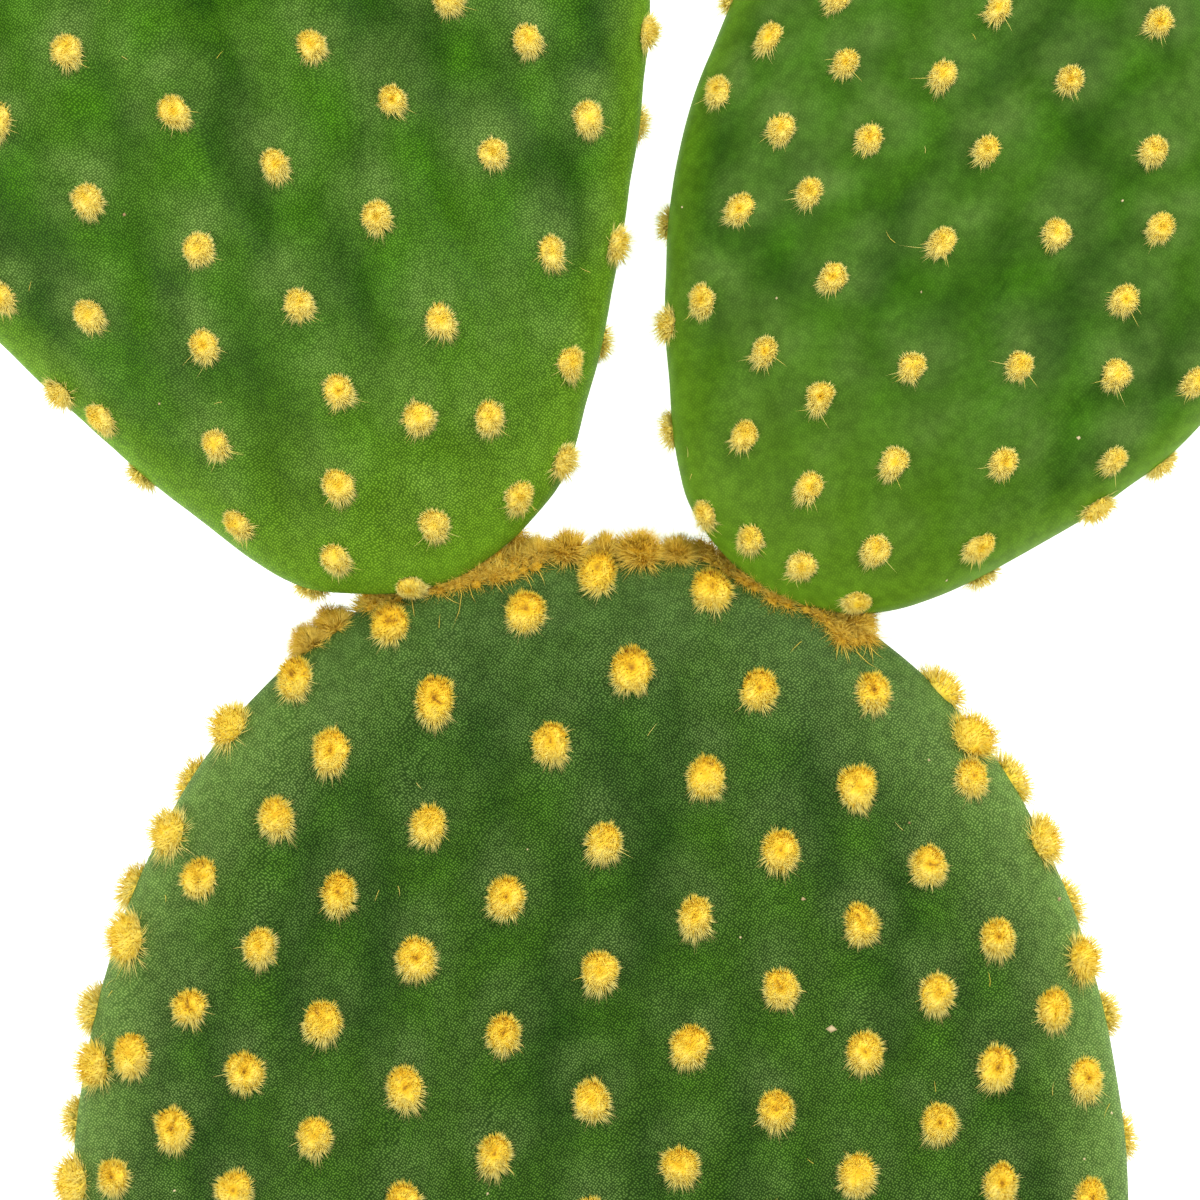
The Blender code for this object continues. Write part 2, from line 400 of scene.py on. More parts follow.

# Front tufts listed one by one, as (across, along) from the mature pad's cut.
handPlaces = {
    "mature": [
        (-0.2, 118.3), (8.9, 116.9), (-5.9, 115.2), (-16.7, 114.2), (-24.3, 109.9), (2.5, 110.6),
        (12.6, 109.0), (21.7, 108.8), (-13.1, 108.2), (-21.3, 104.1), (-3.9, 104.8), (8.4, 102.1),
        (20.4, 101.3), (29.5, 102.0),
    ],
    "left": [
        (-42.2, 159.7), (-33.7, 154.8), (-22.9, 160.1), (-16.5, 155.8), (-5.9, 160.6),
        (-1.2, 154.5), (-25.7, 150.6), (-8.6, 151.6), (-40.5, 147.9), (-17.7, 146.5), (-4.1, 143.8),
        (-31.7, 144.0), (-47.5, 140.4), (-40.4, 138.9), (-23.8, 139.6), (-12.7, 138.3),
        (-31.3, 136.4), (-2.7, 135.1), (-20.7, 132.8), (-39.5, 130.9), (-30.3, 128.7),
        (-14.4, 130.7), (-8.9, 130.8), (-20.7, 125.4), (-6.5, 124.5), (-28.6, 122.5),
        (-13.2, 122.3), (-21.0, 119.8), (-15.1, 117.4), (-12.1, 163.9), (-47.7, 154.3),
    ],
    "right": [
        (13.7, 160.8), (19.6, 158.8), (27.2, 157.8), (31.6, 163.1), (37.3, 157.5), (44.4, 162.1),
        (9.6, 156.7), (14.5, 153.5), (21.4, 152.7), (30.7, 151.9), (43.9, 151.9), (11.3, 147.2),
        (16.7, 148.5), (27.1, 144.5), (36.2, 145.3), (44.4, 145.8), (18.5, 141.7), (8.4, 140.0),
        (41.6, 140.1), (13.2, 135.9), (24.7, 134.7), (33.2, 134.8), (40.9, 134.2), (17.5, 132.3),
        (11.6, 129.3), (23.3, 127.2), (31.8, 127.3), (40.8, 127.5), (16.7, 125.3), (8.6, 123.2),
        (12.1, 121.2), (30.0, 120.7), (21.9, 120.3), (16.1, 119.1), (20.5, 116.2), (19.0, 163.9),
        (47.2, 133.7),
    ],
}


# How the mature pad's columns and rows of tufts lie. Row 0 crosses column 0 at start.
matureRows = {
    "start": 86.6,
    "step": 5.03,  # from row 0 to row 1, towards the base
    "closing": 0.963,  # every next step is this share of the one before
    "slant": 0.486,  # how much further along each next column stands
    "turn": 10.17,  # between two columns, about the pad's axis
    "turned": 0.85,
    "follow": 0.307,  # how far the columns bend with the pad's outline
    "straight": 0.693,
    "drift": 0.239,  # sideways from row to row
    "shift": 0.78,
}


def matureLattice():
    # near-upright columns that close up towards the sides, with rows that close up towards the base
    rows, stations = matureRows, maturePad["stations"]
    widest = max(half for _, half in stations)
    places = []
    for column in range(-8, 9):
        for row in range(-7, 20):
            if (column + row) % 2:
                continue
            steps = (1 - rows["closing"] ** row) / (1 - rows["closing"])
            along = rows["start"] - rows["step"] * steps + rows["slant"] * column
            half = rows["follow"] * np.interp(along, *zip(*stations)) + rows["straight"] * widest
            turn = math.radians(rows["turn"] * column - rows["turned"])
            places.append((-half * math.sin(turn) - rows["drift"] * row - rows["shift"], along))
    return np.array(places)


def youngLattice(pad):
    # upright columns, each half a pitch further up than the one on its left
    places = []
    for column in range(-9, 10):
        for row in range(-7, 9):
            along = pad["middle"] + pad["frontPitch"] * (row + column / 2)
            places.append((pad["frontColumn"] * column, along))
    return np.array(places)


def inCutting(points):
    # from world space to (across, along) as measured from the mature pad's cut
    return points[:, :2] - maturePad["origin"][:2]


def handSeats(pad, places):
    # brings (across, along) places of the cutting onto the front of a pad
    flat = np.array(places) + maturePad["origin"][:2] - pad["origin"][:2]
    level = pad["axes"][:2, :2]
    local = flat @ np.linalg.inv(level)
    for _ in range(3):
        over, angle, share = toPad(pad, local[:, 0], local[:, 1])
        rise = skinInPad(pad, over, angle)[:, 2]
        local = (flat - rise[:, None] * pad["axes"][2, :2]) @ np.linalg.inv(level)
    over, angle, share = toPad(pad, local[:, 0], local[:, 1])
    kept = share < growth["handReach"]
    return seatsOn(pad, over[kept], angle[kept])


def frontSeats(pad, places, byHand, chance):
    places = places + chance.uniform(-1, 1, places.shape) * growth["wander"]
    over, angle, share = toPad(pad, places[:, 0], places[:, 1])
    lowest = pad.get("cutAt", -99) + growth["cutMargin"]
    inside = (share < growth["frontReach"]) & (places[:, 1] > lowest)
    kept = []
    for index in np.nonzero(inside)[0]:
        gaps = [np.linalg.norm(places[index] - places[other]) for other in kept]
        if min(gaps, default=99) > growth["keepApart"]:
            kept.append(index)
    seats = seatsOn(pad, over[kept], angle[kept])
    flat = inCutting(seats["place"])
    low, high = np.array([growth["handAcross"], growth["handAlong"]]).T
    seats = chosen(seats, ~((flat > low) & (flat < high)).all(axis=1))
    placed = handSeats(pad, byHand)
    return joined([placed, apart(seats, placed["place"], growth["keepApart"])])


def rimSeats(pad, chance):
    angles = np.linspace(-math.pi, math.pi, 721)
    line = skin(pad, np.ones_like(angles), angles)
    lengths = np.concatenate([[0], np.cumsum(np.linalg.norm(np.diff(line, axis=0), axis=1))])
    count = int(lengths[-1] / pad["rimPitch"]) // 2 * 2
    alongRim, acrossRim = growth["rimWander"]
    stops = (np.arange(count) + chance.uniform(-alongRim, alongRim, count)) * lengths[-1] / count
    angle = np.interp(stops, lengths, angles)
    swing = growth["rimSwing"] * (-1) ** np.arange(count) + chance.uniform(-acrossRim, acrossRim, count)
    return seatsOn(pad, growth["rimOver"] + swing, angle)


def backSeats(pad, chance):
    widest = max(half for _, half in pad["stations"])
    places = []
    for column in range(-5, 6):
        for row in range(int(pad["stations"][-1][0] / pad["backPitch"])):
            across = widest * math.sin(math.radians(column * pad["backTurn"]))
            places.append((across, pad["backPitch"] * (row + 0.5 * (column % 2))))
    places = np.array(places) + chance.uniform(-1, 1, (len(places), 2)) * growth["wander"]
    over, angle, share = toPad(pad, places[:, 0], places[:, 1])
    kept = share < growth["backReach"]
    return seatsOn(pad, 2 - over[kept], angle[kept])


def restCentres(prefix):
    names = sorted(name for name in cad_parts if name.startswith(prefix))
    boxes = [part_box(name) for name in names]
    return names, np.array([list((low + high) / 2 / mm) for low, high in boxes])


def restSeats(pad, centres):
    # back seats straight over the middle of each resting tuft's solid
    over, angle, _ = toPad(pad, *inPad(pad, centres).T[:2])
    return seatsOn(pad, 2 - over, angle)


def apart(seats, others, least):
    gaps = np.linalg.norm(seats["place"][:, None] - others[None], axis=2)
    return chosen(seats, gaps.min(axis=1) > least)


# Each clump is (distance across from the pad's axis, how far over the rim, size).
tipClumps = [
    (-5.0, 0.985, 0.55), (-2.6, 0.97, 1.0), (0.4, 1.0, 0.7), (3.2, 0.945, 1.15), (6.2, 0.975, 0.8),
    (20.4, 0.95, 1.0), (-21.2, 0.99, 0.9), (-23.1, 1.0, 0.9),
]


def tipClumpSeats():
    angles = np.linspace(0.2, math.pi - 0.2, 400)
    across = skinInPad(maturePad, np.ones_like(angles), angles)[:, 0]
    places = np.array(tipClumps)
    seats = seatsOn(maturePad, places[:, 1], np.interp(-places[:, 0], -across, angles))
    seats["age"] = places[:, 2] - 1
    return seats


lattices = {
    "mature": matureLattice(),
    "left": youngLattice(leftPad),
    "right": youngLattice(rightPad),
}
chance = np.random.default_rng(growth["seed"])
maturePad["tipClumps"] = tipClumpSeats()
for name, pad in pads.items():
    pad["front"] = frontSeats(pad, lattices[name], handPlaces[name], chance)
    pad["restNodes"], centres = restCentres(pad["restPrefix"])
    pad["rest"] = restSeats(pad, centres)
    rim = rimSeats(pad, chance)
    back = backSeats(pad, chance)
    pad["rim"] = apart(rim, joined([pad["front"], maturePad["tipClumps"]])["place"], growth["rimApart"])
    if "cutAt" in pad:
        for key in ("front", "rim"):
            along = inPad(pad, pad[key]["place"])[:, 1]
            pad[key] = chosen(pad[key], along > pad["cutAt"] + growth["cutMargin"])
    pad["back"] = apart(back, pad["rest"]["place"], growth["restApart"])
    pad["seats"] = joined([pad[key] for key in ("front", "rim", "back", "rest")])


def insideFlesh(pad, points, margin):
    # whether points lie inside a pad's flesh, or nearer to it than the margin
    across, along, out = inPad(pad, points).T
    _, angle, share = toPad(pad, across, along)
    beyondRim = (share - 1) * rimReach(pad, angle)
    return (beyondRim < margin) & (np.abs(out) < skinRise(pad, np.minimum(share, 1), angle) + margin)


def clearOfOthers(pad, seats, margin):
    for other in pads.values():
        if other is not pad:
            seats = chosen(seats, ~insideFlesh(other, seats["place"], margin))
    return seats


for name, pad in pads.items():
    for key in ("front", "rim", "back"):
        pad[key] = clearOfOthers(pad, pad[key], growth["fleshGap"])
    counts = {key: len(pad[key]["place"]) for key in ("front", "rim", "back", "rest")}
    print(name, "pad has", counts, "tufts")


def feed(tree, socket, value):
    # a socket takes another node's output or a plain value
    if isinstance(value, bpy.types.NodeSocket):
        tree.links.new(value, socket)
    else:
        socket.default_value = value


def mixColour(tree, share, first, second, way="MIX"):
    node = tree.nodes.new("ShaderNodeMix")
    node.data_type = "RGBA"
    node.blend_type = way
    feed(tree, node.inputs[0], share)
    feed(tree, node.inputs[6], first)
    feed(tree, node.inputs[7], second)
    return node.outputs[2]


def calculate(tree, way, first, second=0.0, third=0.0):
    node = tree.nodes.new("ShaderNodeMath")
    node.operation = way
    for socket, value in zip(node.inputs, (first, second, third)):
        feed(tree, socket, value)
    return node.outputs[0]


def rescale(tree, value, low, high, newLow=0.0, newHigh=1.0):
    node = tree.nodes.new("ShaderNodeMapRange")
    node.interpolation_type = "SMOOTHSTEP"
    for socket, number in zip(node.inputs, (value, low, high, newLow, newHigh)):
        feed(tree, socket, number)
    return node.outputs[0]


def cloudy(tree, vector, size, detail=2.0):
    # noise whose lumps are about size across
    node = tree.nodes.new("ShaderNodeTexNoise")
    feed(tree, node.inputs["Vector"], vector)
    feed(tree, node.inputs["Scale"], 1 / (size * mm))
    feed(tree, node.inputs["Detail"], detail)
    return node.outputs["Fac"]


def pointValue(tree, name):
    node = tree.nodes.new("ShaderNodeAttribute")
    node.attribute_name = name
    return node.outputs["Fac"]


def newGroup(name, inputs, outputs):
    tree = bpy.data.node_groups.new(name, "ShaderNodeTree")
    for label, kind in inputs:
        tree.interface.new_socket(name=label, in_out="INPUT", socket_type=kind)
    for label, kind in outputs:
        tree.interface.new_socket(name=label, in_out="OUTPUT", socket_type=kind)
    return tree, tree.nodes.new("NodeGroupInput").outputs, tree.nodes.new("NodeGroupOutput").inputs


def useGroup(tree, group, **values):
    node = tree.nodes.new("ShaderNodeGroup")
    node.node_tree = group
    for label, value in values.items():
        feed(tree, node.inputs[label], value)
    return node.outputs


def newMaterial(name, look):
    material = bpy.data.materials.new(name)
    material.use_nodes = True
    shader = material.node_tree.nodes["Principled BSDF"]
    shader.inputs["Roughness"].default_value = look["roughness"]
    shader.inputs["Specular IOR Level"].default_value = look["specular"]
    return material, material.node_tree, shader


def newPiece(name, points, faces, material, values=None, uv=None):
    # points in millimetres, faces all with the same number of corners
    data = bpy.data.meshes.new(name)
    data.vertices.add(len(points))
    data.vertices.foreach_set("co", (points * mm).astype(np.float32).ravel())
    data.loops.add(faces.size)
    data.loops.foreach_set("vertex_index", faces.astype(np.int32).ravel())
    data.polygons.add(len(faces))
    data.polygons.foreach_set("loop_start", np.arange(0, faces.size, faces.shape[1], dtype=np.int32))
    data.update(calc_edges=True)
    data.shade_smooth()
    for key, numbers in (values or {}).items():
        data.attributes.new(key, "FLOAT", "POINT").data.foreach_set("value", numbers.astype(np.float32))
    if uv is not None:
        data.uv_layers.new(name="OFBake").data.foreach_set("uv", uv.astype(np.float32).ravel())
    data.materials.append(material)
    made = bpy.data.objects.new(name, data)
    bpy.context.scene.collection.objects.link(made)
    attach(made, "root")
    return made


grainLook = {
    "turn": 0.6,
    "randomness": 0.5,
    "dotEdge": 0.46,  # distances from a dot's middle at which it is gone and whole
    "dotTop": 0.06,
}


def grainGroup():
    # small pale wax dots that lie close together on darker skin
    inputs = [("Vector", "NodeSocketVector"), ("Cell", "NodeSocketFloat")]
    tree, given, made = newGroup("skin_grain", inputs, [("Dots", "NodeSocketFloat")])
    turned = tree.nodes.new("ShaderNodeVectorRotate")
    feed(tree, turned.inputs["Vector"], given["Vector"])
    turned.inputs["Angle"].default_value = grainLook["turn"]
    dots = tree.nodes.new("ShaderNodeTexVoronoi")
    dots.voronoi_dimensions = "2D"
    feed(tree, dots.inputs["Vector"], turned.outputs["Vector"])
    feed(tree, dots.inputs["Scale"], calculate(tree, "DIVIDE", 1000.0, given["Cell"]))
    dots.inputs["Randomness"].default_value = grainLook["randomness"]
    shown = rescale(tree, dots.outputs["Distance"], grainLook["dotEdge"], grainLook["dotTop"])
    feed(tree, made["Dots"], shown)
    return tree


skinGrain = grainGroup()

# How the patches of both skins lie: clouds and furrows, and what lies just above and below each tuft. The
# furrows are painted darker as shade, and the ridges and the patch above each tuft take painted light along
# with waxy bloom.
patchLook = {
    "furrowPaintedShade": 1.6,
    "cloudShade": 1.0,
    "cloudSize": 5,
    "streak": (1, 0.35, 1),  # draws the clouds out along the pads
    "fleckShade": 0.5,
    "fleckSize": 2.1,
    "breakSize": 2.4,  # lumps that break up the bloom and the fresh patches
    "breakContrast": 1.3,
    "bloomLeast": 0.4,  # what is left of them in the gaps
    "freshLeast": 0.35,
    "bloomAndLightOverTuft": (1.6, 2.4, 2.8),  # distance, width and length of the bloom and painted light at each tuft
    "freshUnderTuft": (-4.2, 1.4, 2.6),
    "ridgeContrast": 1.5,
    "ridgeStart": 0.15,
    "ridgeMost": 0.8,
    "rimSheenBend": 1.5,
    "rimSmooth": 0.7,  # how much less grain the rim has
    "most": 0.9,  # of the rim's and the crown's colour
    "mottleBetween": (0.25, 0.75),
}
cutLook = {
    "halfWidth": 8.6,
    "halfThickness": 7.5,
    "dish": 1.1,
    "lumps": 0.35,
    "lumpsPerMm": 0.9,
    "smoothWithin": 6,  # the skin's mounds and furrows start this far from the cut
    "corkWithin": 1.2,
    "corkTones": 1.4,
}
matureSkinLook = {
    # The darkest green is partly the skin's own tone and partly painted shade in the furrows.
    "darkToneAndShade": (0.0086, 0.0360, 0.0016, 1),
    "plain": (0.0198, 0.0625, 0.0026, 1),
    "fresh": (0.025, 0.090, 0.0014, 1),
    # The pale bluish green is partly waxy bloom and partly painted light, on the ridges and on the lit
    # upper side of each tuft's mound.
    "bloomAndLight": (0.044, 0.090, 0.0170, 1),
    # The rim colour is painted sheen: the skin paled towards the rim as if lit at a grazing angle by the
    # white surroundings.
    "rim": (0.116, 0.212, 0.042, 1),
    "crown": (0.036, 0.082, 0.014, 1),
    "betweenDots": (0.62, 0.66, 0.58, 1),  # this and the next multiply the skin's colour
    "dots": (4.2, 3.2, 4.6, 1),
    "cell": 0.205,
    "bend": 0.5,
    "mottleSize": 0.9,
    "mottle": (0.82, 1.18),
    "ridgeBloomAndLight": 0.5,
    "rimSheenStart": 0.81,
    "crownStart": 96,
    "crownStretch": 20,
    "rimSheenEnd": 104,  # the painted rim sheen fades from here to the tip
    "rimSheenEndStretch": 10,
    "rimSheenEndFade": 0.7,
    "cork": (0.42, 0.29, 0.15, 1),
    "corkDark": (0.13, 0.07, 0.03, 1),
    "specular": 0.05,
    "roughness": 0.5,
    "waxRoughness": 0.66,
    "bump": 0.35,
    "bumpHeight": 0.03,
}
youngSkinLook = {
    # The darkest green is partly the skin's own tone and partly painted shade in the furrows.
    "darkToneAndShade": (0.0105, 0.046, 0.0011, 1),
    "plain": (0.030, 0.100, 0.0019, 1),
    "fresh": (0.036, 0.136, 0.0010, 1),
    # The pale bluish green is partly waxy bloom and partly painted light, on the ridges and on the lit
    # upper side of each tuft's mound.
    "bloomAndLight": (0.082, 0.158, 0.026, 1),
    # The rim colour is painted sheen: the skin paled towards the rim as if lit at a grazing angle by the
    # white surroundings.
    "rim": (0.122, 0.262, 0.012, 1),
    "crown": (0.090, 0.190, 0.006, 1),
    "betweenDots": (0.68, 0.72, 0.62, 1),
    "dots": (3.4, 2.8, 4.0, 1),
    "cell": 0.205,
    "bend": 0.5,
    "mottleSize": 0.9,
    "mottle": (0.86, 1.14),
    "ridgeBloomAndLight": 0.7,
    "rimSheenStart": 0.88,
    "crownReach": 24,
    "crownBend": 1.3,
    "specular": 0.05,
    "roughness": 0.46,
    "waxRoughness": 0.64,
    "bump": 0.35,
    "bumpHeight": 0.03,
}


def skinMaterial(name, look):
    material, tree, shader = newMaterial(name, look)
    place = tree.nodes.new("ShaderNodeTexCoord").outputs["Object"]
    bent = tree.nodes.new("ShaderNodeVectorMath")
    bent.operation = "MULTIPLY_ADD"
    feed(tree, bent.inputs[0], pointValue(tree, "toneAndShade"))
    bent.inputs[1].default_value = (look["bend"] * mm, -look["bend"] * mm, 0)
    feed(tree, bent.inputs[2], place)
    dots = useGroup(tree, skinGrain, Vector=bent.outputs["Vector"], Cell=look["cell"])["Dots"]
    # from the darkest green, partly painted shade in the furrows, to the plain green
    colour = mixColour(tree, pointValue(tree, "toneAndShade"), look["darkToneAndShade"], look["plain"])
    # fresh and crown are the skin's own colours; the bloom also carries painted light, and the rim is
    # painted sheen
    for key in ("fresh", "bloomAndLight", "crown", "rim"):
        colour = mixColour(tree, pointValue(tree, key), colour, look[key])
    lumps = cloudy(tree, place, look["mottleSize"], 1.0)
    mottle = rescale(tree, lumps, *patchLook["mottleBetween"], *look["mottle"])
    colour = mixColour(tree, 1.0, colour, mottle, "MULTIPLY")
    tint = mixColour(tree, dots, look["betweenDots"], look["dots"])
    dotted = mixColour(tree, 1.0, colour, tint, "MULTIPLY")
    colour = mixColour(tree, pointValue(tree, "grain"), colour, dotted)
    if "cork" in look:
        cork = mixColour(tree, pointValue(tree, "corkTone"), look["corkDark"], look["cork"])
        colour = mixColour(tree, pointValue(tree, "cork"), colour, cork)
    feed(tree, shader.inputs["Base Color"], colour)
    wax = rescale(tree, pointValue(tree, "bloomAndLight"), 0.0, 1.0, look["roughness"], look["waxRoughness"])
    feed(tree, shader.inputs["Roughness"], wax)
    bump = tree.nodes.new("ShaderNodeBump")
    bump.inputs["Strength"].default_value = look["bump"]
    bump.inputs["Distance"].default_value = look["bumpHeight"] * mm
    feed(tree, bump.inputs["Height"], calculate(tree, "MULTIPLY", dots, pointValue(tree, "grain")))
    feed(tree, shader.inputs["Normal"], bump.outputs["Normal"])
    return material


def squareToDisc(cells):
    # a square grid drawn onto a disc, as over and angle
    side = np.linspace(-1, 1, cells + 1)
    x, y = np.meshgrid(side, side, indexing="ij")
    wide = np.abs(x) >= np.abs(y)
    safeX, safeY = np.where(x == 0, 1, x), np.where(y == 0, 1, y)
    flat = math.pi / 4 * y / safeX + np.where(x < 0, math.pi, 0)
    steep = math.pi / 2 - math.pi / 4 * x / safeY + np.where(y < 0, math.pi, 0)
    angle = np.where(wide, flat, steep)
    return np.maximum(np.abs(x), np.abs(y)), np.arctan2(np.sin(angle), np.cos(angle))


def padFaces(cells):
    # quads of a front and a back sheet that share their edge
    front = np.arange((cells + 1) ** 2).reshape(cells + 1, cells + 1)
    back = front.copy()
    back[1:-1, 1:-1] = front.size + np.arange((cells - 1) ** 2).reshape(cells - 1, cells - 1)
    quads = []
    for sheet in (front, back):
        corners = (sheet[:-1, :-1], sheet[1:, :-1], sheet[1:, 1:], sheet[:-1, 1:])
        quads.append(np.stack(corners, axis=-1).reshape(-1, 4))
    return np.concatenate([quads[0], quads[1][:, ::-1]])


def shapeCutEnd(smooth, local, onCut):
    # hollows the cut end and makes it lumpy
    across, thick = local[:, 0] / cutLook["halfWidth"], local[:, 2] / cutLook["halfThickness"]
    dish = np.clip(1 - across**2 - thick**2, 0, 1)[onCut]
    lumps = np.array([noise.noise(Vector(point) * cutLook["lumpsPerMm"]) for point in smooth[onCut]])
    smooth[onCut, 1] += cutLook["dish"] * dish**0.5 + cutLook["lumps"] * lumps * dish


def skinMarks(pad, look, smooth, along, share):
    # how strongly each colour of a skin, painted shade and light among them, shows at each of its points,
    # from 0 to 1
    hollows = furrows(pad, smooth) / pad["furrow"]
    broken = np.clip(0.5 + patchLook["breakContrast"] * clouds(smooth, patchLook["breakSize"]), 0, 1)
    brokenBloom = patchLook["bloomLeast"] + (1 - patchLook["bloomLeast"]) * broken
    brokenFresh = patchLook["freshLeast"] + (1 - patchLook["freshLeast"]) * broken
    streaks = clouds(smooth * patchLook["streak"], patchLook["cloudSize"])
    # Low values, painted darker, come partly from the furrows as painted shade and partly from random
    # clouds of tone.
    toneAndShade = 0.5 + patchLook["furrowPaintedShade"] * hollows + patchLook["cloudShade"] * streaks
    toneAndShade = toneAndShade + patchLook["fleckShade"] * clouds(smooth, patchLook["fleckSize"])
    # Raised ridges are painted paler: partly waxy bloom, partly painted light.
    litRidges = patchLook["ridgeContrast"] * hollows - patchLook["ridgeStart"]
    litRidges = np.clip(litRidges, 0, patchLook["ridgeMost"]) * look["ridgeBloomAndLight"]
    # The patch a little up the pad from each tuft lies on the lit side of its mound: partly bloom, partly
    # painted light.
    overTufts = nearTufts(pad, smooth, *patchLook["bloomAndLightOverTuft"])
    # rim: painted sheen, paler towards the rim
    rim = ramp(share, look["rimSheenStart"], 1 - look["rimSheenStart"]) ** patchLook["rimSheenBend"] * patchLook["most"]
    marks = {
        "toneAndShade": np.clip(toneAndShade, 0, 1),
        "fresh": nearTufts(pad, smooth, *patchLook["freshUnderTuft"]) * brokenFresh,
        "bloomAndLight": np.maximum(overTufts, litRidges) * brokenBloom,
        "rim": rim,
        "grain": pad["grain"] * (1 - patchLook["rimSmooth"] * rim),
    }
    if "cutAt" in pad:
        crown = ramp(along, look["crownStart"], look["crownStretch"])
        marks["crown"] = crown * patchLook["most"] * brokenBloom
        marks["rim"] = rim * (1 - look["rimSheenEndFade"] * ramp(along, look["rimSheenEnd"], look["rimSheenEndStretch"]))
        marks["cork"] = np.clip(1 - (along - pad["cutAt"]) / cutLook["corkWithin"], 0, 1)
        marks["corkTone"] = np.clip(0.5 + clouds(smooth, cutLook["corkTones"]), 0, 1)
    else:
        crown = np.clip(1 - along / look["crownReach"], 0, 1)
        marks["crown"] = crown ** look["crownBend"] * patchLook["most"]
    return marks


def makeSkin(name, pad, look, material):
    over, angle = squareToDisc(pad["cells"])
    over = np.concatenate([over.ravel(), 2 - over[1:-1, 1:-1].ravel()])
    angle = np.concatenate([angle.ravel(), angle[1:-1, 1:-1].ravel()])
    seats = seatsOn(pad, over, angle)
    smooth = skin(pad, over, angle)
    lift = skinLift(pad, smooth)
    local = inPad(pad, smooth)
    if "cutAt" in pad:
        depth = local[:, 1] - pad["cutAt"]
        lift = lift * ramp(depth, 0, cutLook["smoothWithin"])
        shapeCutEnd(smooth, local, depth < 1e-6)
    points = smooth + seats["out"] * lift[:, None]
    share = np.sin(np.minimum(over, 1) * math.pi / 2)
    marks = skinMarks(pad, look, smooth, local[:, 1], share)
    made = newPiece(name, points, padFaces(pad["cells"]), material, marks)
    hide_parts(pad["node"])


matureSkin = skinMaterial("mature_skin", matureSkinLook)
youngSkin = skinMaterial("young_skin", youngSkinLook)
makeSkin("mature_pad_skin", maturePad, matureSkinLook, matureSkin)
makeSkin("left_pad_skin", leftPad, youngSkinLook, youngSkin)
makeSkin("right_pad_skin", rightPad, youngSkinLook, youngSkin)
print("skins are made")


# Each bristle has one number for its colour, and these are its steps: straw, yellow, gold and brown.
bristleSteps = (0, 0.5, 0.8, 1)
bristleLook = {
    "tips": [(0.90, 0.80, 0.28), (0.90, 0.70, 0.10), (0.86, 0.56, 0.03), (0.48, 0.22, 0.03)],
    # Darker roots are partly the bristles' own colour and partly painted shade deep in the tufts.
    "roots": [(0.92, 0.74, 0.14), (0.92, 0.66, 0.04), (0.84, 0.50, 0.02), (0.20, 0.08, 0.01)],
    "roughness": 0.6,
    "specular": 0.05,
    "fibreSize": 0.07,
    "fibresBetween": (0.3, 0.62),
    "fibres": 0.4,  # how much the fibres lighten a bristle, and how much its own length does
    "lengthwise": 0.7,
}
oldBristleLook = dict(
    bristleLook,
    tips=[(0.94, 0.73, 0.16), (0.90, 0.58, 0.045), (0.62, 0.36, 0.03), (0.30, 0.13, 0.02)],
    # The old roots are darker still: partly their own brown, partly painted shade in the gaps between
    # hairs.
    roots=[(0.74, 0.48, 0.025), (0.55, 0.29, 0.006), (0.26, 0.11, 0.005), (0.08, 0.03, 0.006)],
)


def bristleColour(tree, value, colours):
    node = tree.nodes.new("ShaderNodeValToRGB")
    elements = node.color_ramp.elements
    while len(elements) < len(colours):
        elements.new(0.5)
    for element, position, colour in zip(elements, bristleSteps, colours):
        element.position = position
        element.color = (*colour, 1)
    feed(tree, node.inputs["Fac"], value)
    return node.outputs["Color"]


def bristleMaterial(name, look):
    material, tree, shader = newMaterial(name, look)
    shade = pointValue(tree, "shade")
    tips = bristleColour(tree, shade, look["tips"])
    roots = bristleColour(tree, shade, look["roots"])
    place = tree.nodes.new("ShaderNodeTexCoord").outputs["Object"]
    fibres = rescale(tree, cloudy(tree, place, look["fibreSize"], 0.0), *look["fibresBetween"])
    fibres = calculate(tree, "MULTIPLY", fibres, look["fibres"])
    # Towards the roots the colour darkens, partly as painted shade deep in the tuft.
    grown = calculate(tree, "MULTIPLY_ADD", pointValue(tree, "grown"), look["lengthwise"], fibres)
    feed(tree, shader.inputs["Base Color"], mixColour(tree, grown, roots, tips))
    return material


glochids = bristleMaterial("glochids", bristleLook)
oldGlochids = bristleMaterial("old_glochids", oldBristleLook)


def repeated(pattern, count):
    # the faces of count copies of a shape, one copy's corners after another's
    corners = np.max(pattern) + 1
    return (np.arange(count)[:, None, None] * corners + np.array(pattern)).reshape(-1, 3)


def spikes(roots, aims, lengths, widths, shades, roll):
    # closed three-sided spikes: three corners round each root and one at the tip
    side = unit(np.cross(aims, np.where(np.abs(aims[:, 2:]) < 0.9, [[0, 0, 1.0]], [[1.0, 0, 0]])))
    other = np.cross(aims, side)
    tips = roots + aims * lengths[:, None]
    corners = [tips]
    for third in range(3):
        turn = roll + third * fullTurn / 3
        swing = side * np.cos(turn)[:, None] + other * np.sin(turn)[:, None]
        corners.append(roots + swing * widths[:, None] / 2)
    points = np.stack(corners, axis=1).reshape(-1, 3)
    faces = repeated([(0, 1, 2), (0, 2, 3), (0, 3, 1), (1, 3, 2)], len(roots))
    grown = np.tile([1.0, 0, 0, 0], len(roots))
    return points, faces, {"shade": np.repeat(shades, 4), "grown": grown}


